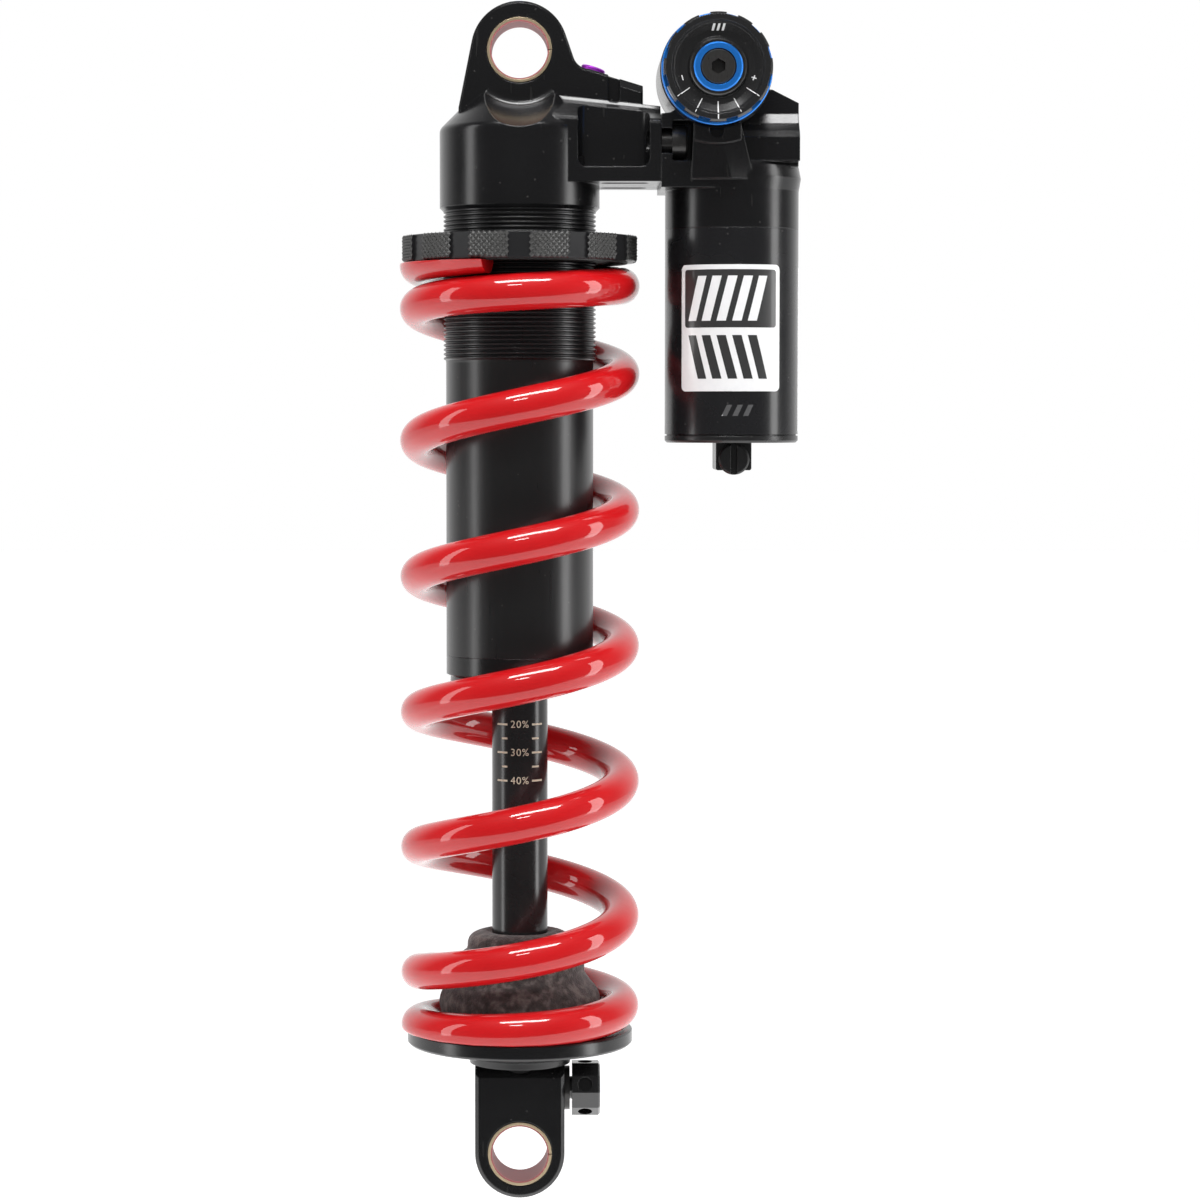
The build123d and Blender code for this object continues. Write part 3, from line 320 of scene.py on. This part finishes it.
def wrapped_print(meshes, radius, centre_x, step=0.0005):
    """Joins flat shapes and wraps them round an upright cylinder, facing -Y."""
    sheet = bmesh.new()
    for mesh in meshes:
        sheet.from_mesh(mesh)
        bpy.data.meshes.remove(mesh)
    widest = max(abs(v.co.x) for v in sheet.verts)
    for k in range(-int(widest / step), int(widest / step) + 1):
        everything = sheet.verts[:] + sheet.edges[:] + sheet.faces[:]
        bmesh.ops.bisect_plane(sheet, geom=everything, plane_co=(k * step, 0, 0), plane_no=(1, 0, 0))
    for vertex in sheet.verts:
        turn = vertex.co.x / radius
        vertex.co = (centre_x + radius * math.sin(turn), -radius * math.cos(turn), vertex.co.y)
    sheet.normal_update()
    for face in sheet.faces:
        outward = face.calc_center_median() - Vector((centre_x, 0, face.calc_center_median().z))
        if face.normal.dot(outward) < 0:
            face.normal_flip()
        face.smooth = True
    mesh = bpy.data.meshes.new("print")
    sheet.to_mesh(mesh)
    sheet.free()
    return mesh


tube_black = Finish("tube_black", coat_weight=0.15, coat_roughness=0.2)
drawn = tube_black.clouds(900.0, 2.0, DRAWN_ALONG)
tube_black.set(
    "Base Color",
    tube_black.mix(tube_black.specks(520.0, 0.11) * 0.16, (0.010, 0.010, 0.0105), (0.16, 0.15, 0.14)),
)
tube_black.set("Roughness", 0.24 + drawn * 0.12)
tube_black.relief(drawn, 0.000003, 0.0002)
tube_black.dress("damper_tube", "bottom_out_cup")

shaft_black = Finish("shaft_black")
ground = shaft_black.clouds(2500.0, 2.0, GROUND_ROUND)
shaft_black.set(
    "Base Color",
    shaft_black.mix(shaft_black.clouds(260.0), (0.011, 0.011, 0.012), (0.017, 0.016, 0.016)),
)
shaft_black.set("Roughness", 0.16 + ground * 0.10)
shaft_black.relief(ground, 0.000001)
shaft_black.dress("damper_shaft")

scale_ink = Finish("scale_ink", roughness=0.55)
worn = scale_ink.clouds(2600.0, 2.0)
scale_ink.set("Base Color", scale_ink.mix(worn, (0.50, 0.44, 0.33), (0.74, 0.67, 0.53)))
marks = []
for text, height in SCALE_TENS:
    marks.append(flat_letters(text, NUMERAL_HEIGHT, (0.0, height)))
    for left, right in LONG_LINES:
        marks.append(flat_shape(bar(left, right, height - SCALE_LINE / 2, height + SCALE_LINE / 2)))
    if text != SCALE_TENS[-1][0]:
        low = height - SCALE_GAP - SCALE_LINE / 2
        for left, right in SHORT_LINES:
            marks.append(flat_shape(bar(left, right, low, low + SCALE_LINE)))
new_piece(
    "sag_scale",
    wrapped_print(marks, SHAFT_R + INK_PROUD, 0.0, 0.0004),
    "shaft_assembly",
    "shaft_black",
    scale_ink,
)


# ---------------------------------------------------------------- coil spring
# Music-wire coil, 8.3 mm thick, wound right-handed with its end turns closed down and ground
# flat, then powder coated a glossy red: a thick coat with slight orange peel.
WIRE_R = 0.00415
WIRE_SIDES = 40
WIRE_STEPS = 720
COIL_R = 0.02305
SPRING_TOP = -0.0476
SPRING_LOW = -0.2217
COIL_START = -0.95  # turns, counted downwards from the front
COIL_END = 6.42
COIL_ZERO = -0.05468
END_PITCH = 0.00865
MID_PITCH = 0.03087
OPENING = (0.078, 0.345)  # where the pitch starts to open, and over how many turns
CLOSING = (4.813, 0.978)


class Growth:
    """A Geometry Nodes tree with named sizes, run on an empty mesh to give a plain one."""

    def __init__(self, name, **sizes):
        self.tree = bpy.data.node_groups.new(name, "GeometryNodeTree")
        self.tree.interface.new_socket("Geometry", in_out="OUTPUT", socket_type="NodeSocketGeometry")
        self.sizes = sizes
        for key, value in sizes.items():
            kind = "NodeSocketInt" if isinstance(value, int) else "NodeSocketFloat"
            self.tree.interface.new_socket(key, in_out="INPUT", socket_type=kind)
        self.inputs = self.tree.nodes.new("NodeGroupInput").outputs

    def size(self, key):
        return Socket(self.tree, self.inputs[key])

    def node(self, kind, settings=None, values=None, output=0):
        return add_node(self.tree, kind, settings, values, output)

    def vector(self, x=0.0, y=0.0, z=0.0):
        return self.node("ShaderNodeCombineXYZ", values={0: x, 1: y, 2: z})

    def harvest(self, name, shape, finish):
        """Ends the tree in real geometry with its material, and returns the mesh."""
        real = self.node("GeometryNodeRealizeInstances", values={"Geometry": shape})
        painted = self.node(
            "GeometryNodeSetMaterial", values={"Geometry": real, "Material": finish.material}
        )
        self.tree.links.new(painted.link, self.tree.nodes.new("NodeGroupOutput").inputs[0])
        carrier = bpy.data.objects.new(name, bpy.data.meshes.new(name))
        bpy.context.scene.collection.objects.link(carrier)
        modifier = carrier.modifiers.new("growth", "NODES")
        modifier.node_group = self.tree
        for item in self.tree.interface.items_tree:
            if item.in_out == "INPUT":
                modifier[item.identifier] = self.sizes[item.name]
        scene_now = bpy.context.evaluated_depsgraph_get()
        mesh = bpy.data.meshes.new_from_object(carrier.evaluated_get(scene_now))
        carrier.modifiers.remove(modifier)
        bpy.data.objects.remove(carrier)
        return mesh


spring_red = Finish(
    "spring_red", coat_weight=1.0, coat_roughness=0.04, coat_ior=1.5, specular_ior_level=0.15
)
peel = spring_red.clouds(1500.0, 2.0)
shade = spring_red.clouds(90.0, 2.0)
spring_red.set("Base Color", spring_red.mix(shade, (0.44, 0.0015, 0.003), (0.54, 0.002, 0.005)))
spring_red.set("Roughness", 0.45 + spring_red.clouds(300.0) * 0.12)
spring_red.relief(peel, 0.000012)

coil = Growth(
    "coil_spring",
    **{
        "Wire radius": WIRE_R,
        "Coil radius": COIL_R,
        "Top": SPRING_TOP,
        "Bottom": SPRING_LOW,
        "Start": COIL_START,
        "End": COIL_END,
        "Zero": COIL_ZERO,
        "End pitch": END_PITCH,
        "Mid pitch": MID_PITCH,
        "Steps": WIRE_STEPS,
    },
)
line = coil.node(
    "GeometryNodeResampleCurve",
    values={"Curve": coil.node("GeometryNodeCurvePrimitiveLine"), "Count": coil.size("Steps")},
)
along = coil.node("GeometryNodeSplineParameter", output="Factor")
turns = coil.size("Start") + (coil.size("End") - coil.size("Start")) * along


def eased(count, start, width):
    """How far a pitch that opens from start over width has gained, in turns."""
    share = (count - start) / width
    opened = share.at_least(0.0)
    over = (share - 1.0).at_least(0.0)
    return (opened * opened - over * over) * (width / 2)


gained = eased(turns, *OPENING) - eased(turns, *CLOSING)
extra_pitch = coil.size("Mid pitch") - coil.size("End pitch")
height = coil.size("Zero") - coil.size("End pitch") * turns - extra_pitch * gained
angle = turns * (2 * math.pi)
helix = coil.node(
    "GeometryNodeSetPosition",
    values={
        "Geometry": line,
        "Position": coil.vector(
            angle.sine() * coil.size("Coil radius") * -1.0,
            angle.cosine() * coil.size("Coil radius") * -1.0,
            height,
        ),
    },
)
wire_section = coil.node(
    "GeometryNodeCurvePrimitiveCircle",
    values={"Resolution": WIRE_SIDES, "Radius": coil.size("Wire radius")},
)
wire = coil.node(
    "GeometryNodeCurveToMesh",
    values={"Curve": helix, "Profile Curve": wire_section, "Fill Caps": True},
)
where = coil.node("GeometryNodeInputPosition")
parts = [coil.node("ShaderNodeSeparateXYZ", values={0: where}, output=k) for k in range(3)]
ground_flat = coil.node(
    "ShaderNodeClamp", values={"Value": parts[2], "Min": coil.size("Bottom"), "Max": coil.size("Top")}
)
wire = coil.node(
    "GeometryNodeSetPosition",
    values={"Geometry": wire, "Position": coil.vector(parts[0], parts[1], ground_flat)},
)
wire = coil.node("GeometryNodeSetShadeSmooth", values={"Geometry": wire})
spring_mesh = coil.harvest("coil_spring", wire, spring_red)
spring = new_piece("spring_coil", spring_mesh, "shaft_assembly", "spring_red", spring_red)
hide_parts("coil_spring")
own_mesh(spring)


# ---------------------------------------------------------------- bump stop
# Moulded urethane foam, closed-cell and dusty black-brown, pushed over the shaft: a soft body of
# revolution in two lobes whose skin is mottled and pitted.
STOP_BORE = 0.0064
STOP_LOW = -0.2217
STOP_PROFILE = (
    (0.0172, -0.2217),
    (0.0178, -0.2190),
    (0.0184, -0.2158),
    (0.0178, -0.2132),
    (0.0160, -0.2108),
    (0.0148, -0.2090),
    (0.01475, -0.2072),
    (0.0146, -0.2058),
    (0.0133, -0.2046),
    (0.0121, -0.2036),
    (0.0119, -0.2020),
    (0.0112, -0.2006),
    (0.0098, -0.1998),
    (0.0084, -0.1995),
)
STOP_SEGMENTS = 160
STOP_LUMPS = ((420, 0.00010), (1500, 0.00005))  # waves per metre and depth


def smooth_line(points, per_span):
    """A Catmull-Rom line through the points."""
    fine = []
    padded_ends = [points[0], *points, points[-1]]
    for a, b, c, d in zip(padded_ends, padded_ends[1:], padded_ends[2:], padded_ends[3:]):
        for k in range(per_span):
            t = k / per_span
            point = []
            for p, q, r, s in zip(a, b, c, d):
                curved = (2 * p - 5 * q + 4 * r - s) * t**2 + (3 * q - p - 3 * r + s) * t**3
                point.append(0.5 * (2 * q + (r - p) * t + curved))
            fine.append(tuple(point))
    return [*fine, points[-1]]


skin = smooth_line(STOP_PROFILE, 5)
around = [(STOP_BORE, STOP_LOW), *skin, (STOP_BORE, STOP_PROFILE[-1][1] - 0.0004)]
foam = bmesh.new()
rows = []
for k in range(STOP_SEGMENTS):
    angle = 2 * math.pi * k / STOP_SEGMENTS
    row = []
    for index, (r, z) in enumerate(around):
        point = Vector((r * math.sin(angle), -r * math.cos(angle), z))
        if 1 < index < len(around) - 2:
            lump = sum(noise.noise(point * per_metre) * depth for per_metre, depth in STOP_LUMPS)
            point += Vector((point.x, point.y, 0)).normalized() * lump
        row.append(foam.verts.new(point))
    rows.append(row)
for this_row, next_row in zip(rows, rows[1:] + rows[:1]):
    for m in range(len(around)):
        n = (m + 1) % len(around)
        foam.faces.new((this_row[m], next_row[m], next_row[n], this_row[n]))
bmesh.ops.recalc_face_normals(foam, faces=foam.faces)
for face in foam.faces:
    face.smooth = True
foam_mesh = bpy.data.meshes.new("foam_stop")
foam.to_mesh(foam_mesh)
foam.free()

bump_foam = Finish("bump_foam", sheen_weight=0.3, sheen_roughness=0.5)
mottle = bump_foam.clouds(500.0, 6.0)
pits = bump_foam.node("ShaderNodeTexVoronoi", values={"Vector": bump_foam.place(), "Scale": 2600.0})
bump_foam.set(
    "Base Color",
    bump_foam.ramp(
        mottle, (0.34, (0.020, 0.017, 0.016)), (0.50, (0.055, 0.046, 0.044)), (0.66, (0.15, 0.13, 0.12))
    ),
)
bump_foam.set("Roughness", 0.72 + mottle * 0.2)
bump_foam.relief(mottle * 0.7 + pits * 0.6, 0.00018)
foam_stop = new_piece("foam_stop", foam_mesh, "shaft_assembly", "bump_foam", bump_foam)
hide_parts("bump_stop")
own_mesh(foam_stop)


# ---------------------------------------------------------------- preload collar
# Turned alloy nut with twelve flats for a hook spanner. Between the flats its rim is knurled:
# rolled diamonds, bright at their points where the black has rubbed.
KNURL_R = 0.02645
KNURL_PITCH = 0.00127
KNURL_ROWS = 8
KNURL_COLUMNS = 7
KNURL_LOW = -0.04695
KNURL_STEP = 0.00066
KNURL_POINT = 0.00030
KNURL_TIP_R = 0.00006
COLLAR_FLATS = 12

black_alloy("collar_black", (0.013, 0.013, 0.014), 0.30, 0.0003).dress("preload_collar")
knurl_black = Finish("knurl_black")
rubbed = knurl_black.clouds(1200.0, 2.0)
knurl_black.set("Base Color", knurl_black.mix(rubbed, (0.018, 0.018, 0.018), (0.055, 0.054, 0.052)))
knurl_black.set("Roughness", 0.26 + rubbed * 0.12)
knurl = Growth(
    "knurl",
    **{
        "Radius": KNURL_R,
        "Pitch": KNURL_PITCH,
        "Low": KNURL_LOW,
        "Row step": KNURL_STEP,
        "Point": KNURL_POINT,
        "Rows": KNURL_ROWS,
        "Columns": KNURL_COLUMNS,
        "Segments": COLLAR_FLATS,
    },
)
in_segment = knurl.size("Rows") * knurl.size("Columns")
index = knurl.node("GeometryNodeInputIndex")
segment = (index / in_segment).floor()
within = index - segment * in_segment
row = (within / knurl.size("Columns")).floor()
column = within - row * knurl.size("Columns")
odd = row.maths("MODULO", row, 2.0)
from_middle = column - (knurl.size("Columns") - 1) / 2 + odd * 0.5 - 0.25
sideways = from_middle * knurl.size("Pitch") / knurl.size("Radius")
turned = (segment + 0.5) * (2 * math.pi / COLLAR_FLATS) + sideways
points = knurl.node(
    "GeometryNodePoints",
    values={
        "Count": in_segment * knurl.size("Segments"),
        "Position": knurl.vector(
            turned.sine() * knurl.size("Radius"),
            turned.cosine() * knurl.size("Radius") * -1.0,
            knurl.size("Low") + (row + 0.5) * knurl.size("Row step"),
        ),
    },
)
diamond = knurl.node(
    "GeometryNodeMeshCone",
    {"fill_type": "NGON"},
    {
        "Vertices": 4,
        "Radius Bottom": knurl.size("Pitch") * 0.52,
        "Radius Top": KNURL_TIP_R,
        "Depth": knurl.size("Point"),
    },
    "Mesh",
)
field = knurl.node(
    "GeometryNodeInstanceOnPoints",
    values={"Points": points, "Instance": diamond, "Rotation": knurl.vector(math.pi / 2, 0.0, turned)},
)
knurl_mesh = knurl.harvest("knurl", field, knurl_black)
new_piece("collar_knurl", knurl_mesh, "preload_collar", "collar_black", knurl_black)


# ---------------------------------------------------------------- reservoir
# A drawn alloy can in glossier black that screws to the manifold, with a printed panel of
# slanted bars and a white stripe down its side. The cap is turned, with a valve boss.
CAN_X = 0.04803
CAN_R = 0.0151
PANEL_TURN = -0.00115  # the panel's middle, as an arc from the front
PANEL_HALF = 0.0122
PANEL_TOP = -0.0483
PANEL_LOW = -0.0765
PANEL_CORNER = 0.0012
FRAME_WIDTH = 0.0011
STRIPE_LEFT = 0.0206
STRIPE_RIGHT = 0.0221
STRIPE_TOP = -0.0485
STRIPE_LOW = -0.0855
BARS = 5
BAR_MARGIN = 0.0010  # from the frame to the first bar
BARS_SPARE = 0.0046  # width left over for the margins and the bars' lean
BAR_SHARE = 0.6  # of the step from one bar to the next
BAR_LEAN = 0.0026
EMBLEM_START = -0.0030
EMBLEM_STEP = 0.0024
EMBLEM_TOP = -0.0795
EMBLEM_LOW = -0.0820
INK_LAYER = 0.00002  # each print stands proud of the one under it

can_black = Finish("reservoir_black", coat_weight=0.35, coat_roughness=0.14, specular_ior_level=0.35)
haze = can_black.clouds(120.0, 3.0)
can_black.set(
    "Base Color",
    can_black.mix(can_black.specks(560.0, 0.11) * 0.18, (0.009, 0.009, 0.010), (0.19, 0.18, 0.17)),
)
can_black.set("Roughness", 0.20 + haze * 0.14)
can_black.relief(can_black.clouds(5200.0), 0.000002, 0.0002)
can_black.dress("reservoir_can")
black_alloy("cap_black", (0.012, 0.012, 0.0125), 0.28, 0.0003).dress("reservoir_cap", "gas_valve_plug")


def rounded(left, right, low, high, corner, steps=6):
    """Corners of a rectangle with round corners."""
    outline = []
    for x, y, start in ((right, high, 0), (left, high, 90), (left, low, 180), (right, low, 270)):
        middle_x = x + (-corner if x == right else corner)
        middle_y = y + (-corner if y == high else corner)
        for k in range(steps + 1):
            turn = math.radians(start + 90 * k / steps)
            outline.append((middle_x + corner * math.cos(turn), middle_y + corner * math.sin(turn)))
    return outline


def printed(name, colour, other, roughness):
    """Screen-print ink, a little uneven."""
    ink = Finish(name, coat_weight=0.5, coat_roughness=0.12)
    ink.set("Base Color", ink.mix(ink.clouds(700.0, 3.0), colour, other))
    ink.set("Roughness", roughness - 0.05 + ink.clouds(180.0) * 0.1)
    return ink


left, right = PANEL_TURN - PANEL_HALF, PANEL_TURN + PANEL_HALF
halfway = (PANEL_TOP + PANEL_LOW) / 2
white_ink = printed("white_ink", (0.74, 0.74, 0.75), (0.82, 0.82, 0.82), 0.4)
black_ink = printed("black_ink", (0.022, 0.022, 0.023), (0.03, 0.03, 0.03), 0.4)
panel = [flat_shape(rounded(left, right, PANEL_LOW, PANEL_TOP, PANEL_CORNER))]
panel.append(flat_shape(bar(STRIPE_LEFT, STRIPE_RIGHT, STRIPE_LOW, STRIPE_TOP)))
inside_left, inside_right, inside_top = left + FRAME_WIDTH, right - FRAME_WIDTH, PANEL_TOP - FRAME_WIDTH
dark = [flat_shape(rounded(inside_left, inside_right, halfway + 0.0001, inside_top, 0.0007))]
light = []
bar_step = (2 * PANEL_HALF - 2 * FRAME_WIDTH - BARS_SPARE) / BARS
for k in range(BARS):
    start = inside_left + BAR_MARGIN + k * bar_step
    end = start + bar_step * BAR_SHARE
    light.append(flat_shape(bar(start, end, halfway + 0.0016, inside_top - 0.0014, BAR_LEAN)))
    shifted = bar(start + BAR_LEAN, end + BAR_LEAN, PANEL_LOW + 0.0028, halfway - 0.0016, -BAR_LEAN)
    dark.append(flat_shape(shifted))
emblem = []
for k in range(3):
    start = EMBLEM_START + EMBLEM_STEP * k
    emblem.append(flat_shape(bar(start, start + EMBLEM_STEP / 2, EMBLEM_LOW, EMBLEM_TOP, EMBLEM_STEP / 2)))
faint_ink = printed("faint_ink", (0.06, 0.06, 0.062), (0.075, 0.075, 0.077), 0.5)
for name, shapes, layers, ink in (
    ("reservoir_panel", panel, 1, white_ink),
    ("reservoir_panel_dark", dark, 2, black_ink),
    ("reservoir_panel_bars", light, 3, white_ink),
    ("reservoir_emblem", emblem, 1, faint_ink),
):
    wrapped = wrapped_print(shapes, CAN_R + layers * INK_LAYER, CAN_X)
    new_piece(name, wrapped, "damper_body", "reservoir_black", ink)


# ---------------------------------------------------------------- adjusters
# The compression dial is turned alloy in glossy black with a notched rim, engraved marks filled
# with white, a blue rim behind it and a blue ring round its hex screw. The small dial is purple.
DIAL_X = 0.0437
DIAL_Z = -0.0055
DIAL_FACE = (  # radius and depth along the dished face
    (0.0060, 0.0239),
    (0.0063, 0.0236),
    (0.0067, 0.0225),
    (0.0082, 0.0227),
    (0.0097, 0.0233),
    (0.0103, 0.0240),
    (0.0115, 0.0240),
)
TICK_INNER = 0.0077
TICK_OUTER = 0.0111
TICK_TURNS = (-54, -27, 27, 54)  # degrees from the long middle tick
SIGN_TURN = 73
SIGN_RADIUS = 0.0082
SIGN_LENGTH = 0.0011
SIGN_LINE = 0.00022

dial_black = Finish("dial_black", coat_weight=0.7, coat_roughness=0.08)
turned_lines = dial_black.clouds(3200.0, 1.0)
dial_black.set(
    "Base Color",
    dial_black.mix(dial_black.specks(620.0, 0.11) * 0.16, (0.010, 0.010, 0.0105), (0.18, 0.17, 0.16)),
)
dial_black.set("Roughness", 0.18 + turned_lines * 0.12)
dial_black.relief(turned_lines, 0.000002, 0.0003)
dial_black.dress("low_speed_dial", "rebound_dial")


def anodised(name, colour, deeper, roughness=0.28):
    """Dyed alloy: metal under a clear colour, with fine lathe grain."""
    finish = Finish(name, metallic=0.75, coat_weight=0.3, coat_roughness=0.1)
    grain = finish.clouds(1800.0, 2.0)
    finish.set("Base Color", finish.mix(grain, colour, deeper))
    finish.set("Roughness", roughness + grain * 0.08)
    finish.relief(grain, 0.000003, 0.0001)
    return finish


anodised("blue_anodised", (0.025, 0.26, 0.86), (0.018, 0.20, 0.72)).dress(
    "low_speed_ring", "high_speed_ring"
)
anodised("purple_anodised", (0.62, 0.07, 0.85), (0.46, 0.04, 0.70)).dress("bottom_out_dial")


def face_depth(radius):
    """Distance of the dial's dished face from its axis origin, towards the front."""
    for (r1, y1), (r2, y2) in zip(DIAL_FACE, DIAL_FACE[1:]):
        if r1 <= radius <= r2:
            return y1 + (y2 - y1) * (radius - r1) / (r2 - r1)
    return DIAL_FACE[-1][1]


def dial_print(shapes):
    """Lays flat marks on the dial's dished face, seen from the front."""
    sheet = bmesh.new()
    for shape in shapes:
        sheet.from_mesh(shape)
        bpy.data.meshes.remove(shape)
    for axis in (0, 1):
        for k in range(-24, 25):
            line_at = [0.0, 0.0, 0.0]
            line_at[axis] = k * 0.0005
            normal = [0.0, 0.0, 0.0]
            normal[axis] = 1.0
            everything = sheet.verts[:] + sheet.edges[:] + sheet.faces[:]
            bmesh.ops.bisect_plane(sheet, geom=everything, plane_co=line_at, plane_no=normal)
    for vertex in sheet.verts:
        depth = face_depth(math.hypot(vertex.co.x, vertex.co.y))
        vertex.co = (DIAL_X + vertex.co.x, -depth - 0.00003, DIAL_Z + vertex.co.y)
    sheet.normal_update()
    for face in sheet.faces:
        if face.normal.y > 0:
            face.normal_flip()
    mesh = bpy.data.meshes.new("dial_marks")
    sheet.to_mesh(mesh)
    sheet.free()
    return mesh


def spoke(angle, inner, outer, width):
    """Corners of a line on the dial, at an angle from straight down."""
    away = Vector((math.sin(angle), -math.cos(angle)))
    side = Vector((away.y, -away.x)) * (width / 2)
    corners = (away * inner - side, away * outer - side, away * outer + side, away * inner + side)
    return [tuple(corner) for corner in corners]


dial_marks = [flat_shape(spoke(0.0, TICK_INNER - 0.0002, TICK_OUTER + 0.0004, 0.00026))]
for tick_turn in TICK_TURNS:
    dial_marks.append(flat_shape(spoke(math.radians(tick_turn), TICK_INNER, TICK_OUTER, 0.00017)))
for side, strokes in ((-1, 1), (1, 2)):
    turn = math.radians(SIGN_TURN * side)
    for long, wide in ((SIGN_LINE, SIGN_LENGTH), (SIGN_LENGTH, SIGN_LINE))[:strokes]:
        dial_marks.append(flat_shape(spoke(turn, SIGN_RADIUS - long / 2, SIGN_RADIUS + long / 2, wide)))
for k in (-1, 0, 1):
    dial_marks.append(flat_shape(bar(k * 0.0011 - 0.00042, k * 0.0011 + 0.0001, 0.0079, 0.0094, 0.0004)))
new_piece("dial_marks", dial_print(dial_marks), "low_speed_dial", "dial_black", white_ink)


# ---------------------------------------------------------------- small metal parts
# Screws and glands are blackened steel, pistons and rods are bare alloy, shims and springs are
# plain steel; each shows fine turning marks.
def bare_metal(name, colour, deeper, roughness, metallic=1.0):
    """Turned metal with a faint lathe grain."""
    finish = Finish(name, metallic=metallic)
    grain = finish.clouds(2400.0, 2.0, (1.0, 1.0, 0.3))
    finish.set("Base Color", finish.mix(grain, colour, deeper))
    finish.set("Roughness", roughness + grain * 0.12)
    finish.relief(grain, 0.000003, 0.0001)
    return finish


bare_metal("bolt_black", (0.035, 0.034, 0.034), (0.060, 0.058, 0.056), 0.24, 0.6).dress(
    "reservoir_bolts", "high_speed_screw", "rebound_gland"
)
bare_metal("plain_alloy", (0.72, 0.72, 0.73), (0.60, 0.60, 0.61), 0.26).dress(
    "compression_cartridge",
    "base_valve",
    "main_piston",
    "bottom_out_piston",
    "rebound_rod",
    "floating_piston",
)
bare_metal("plain_steel", (0.56, 0.56, 0.57), (0.44, 0.44, 0.45), 0.22).dress(
    "base_valve_shims", "rebound_shims", "compression_shims", "gas_valve_core"
)
bare_metal("bushing_bronze", (0.86, 0.70, 0.48), (0.72, 0.56, 0.36), 0.34).dress(
    "upper_bushing", "lower_bushing", "shaft_guide_bush"
)


# ---------------------------------------------------------------- soft and sliding parts
# Woven liners in the eyes, moulded seals and bands, and the nylon washer under the collar: matt
# plastics and rubbers with a moulded or woven skin.
def moulded(name, colour, paler, roughness, per_metre=1800.0, depth=0.00001):
    """Rubber or plastic with a fine moulded skin."""
    finish = Finish(name)
    skin_grain = finish.clouds(per_metre, 3.0)
    finish.set("Base Color", finish.mix(skin_grain, colour, paler))
    finish.set("Roughness", roughness + skin_grain * 0.12)
    finish.relief(skin_grain, depth)
    return finish


moulded("bushing_liner", (0.30, 0.075, 0.08), (0.42, 0.12, 0.12), 0.45, 3400.0).dress(
    "upper_bushing_liner", "lower_bushing_liner"
)
moulded("seal_rubber", (0.012, 0.012, 0.012), (0.024, 0.023, 0.022), 0.55).dress(
    "seal_head_o_ring",
    "shaft_seal",
    "manifold_face_seal",
    "reservoir_cap_o_ring",
    "top_out_bumper",
    "floating_piston_seal",
)
moulded("wiper_rubber", (0.014, 0.014, 0.015), (0.026, 0.026, 0.027), 0.5).dress("shaft_wiper")
moulded("slip_nylon", (0.03, 0.03, 0.03), (0.05, 0.05, 0.05), 0.42).dress("spring_slip_washer")
moulded("glide_band", (0.22, 0.15, 0.08), (0.30, 0.21, 0.12), 0.4).dress("piston_glide_band")


# ---------------------------------------------------------------- floor
# A plain pale floor, well below the shock, and the white room round it.
FLOOR_HALF = 6.0
FLOOR_FRONT = -0.5
FLOOR_BACK = 9.0
ROOM_FRONT_END = 0.10  # how far behind the shock a direction points where the room starts to brighten
ROOM_BACK_START = 0.80
ROOM_FRONT_LIGHT = 0.12
ROOM_BACK_LIGHT = 1.0
floor_finish = Finish("floor", roughness=0.9, emission_strength=0.74, emission_color=(1.0, 1.0, 1.0))
floor_finish.set(
    "Base Color", floor_finish.mix(floor_finish.clouds(3.0), (0.80, 0.80, 0.80), (0.82, 0.82, 0.82))
)
floor_mesh = flat_shape(bar(-FLOOR_HALF, FLOOR_HALF, FLOOR_FRONT, FLOOR_BACK))
floor_mesh.materials.append(floor_finish.material)
floor_mesh.transform(Matrix.Translation((0, 0, cad_box[0][2] - FLOOR_DROP)))
floor_piece = bpy.data.objects.new("floor", floor_mesh)
bpy.context.scene.collection.objects.link(floor_piece)

world = bpy.data.worlds.new("room")
bpy.context.scene.world = world
world.use_nodes = True
room = world.node_tree
direction = add_node(room, "ShaderNodeTexCoord", output="Generated")
forward = add_node(room, "ShaderNodeSeparateXYZ", values={0: direction}, output=1)
brightness = add_node(
    room,
    "ShaderNodeMapRange",
    {"interpolation_type": "SMOOTHSTEP"},
    {"Value": forward, 1: ROOM_FRONT_END, 2: ROOM_BACK_START, 3: ROOM_FRONT_LIGHT, 4: ROOM_BACK_LIGHT},
)
room.links.new(brightness.link, room.nodes["Background"].inputs["Strength"])
room.nodes["Background"].inputs["Color"].default_value = (1, 1, 1, 1)
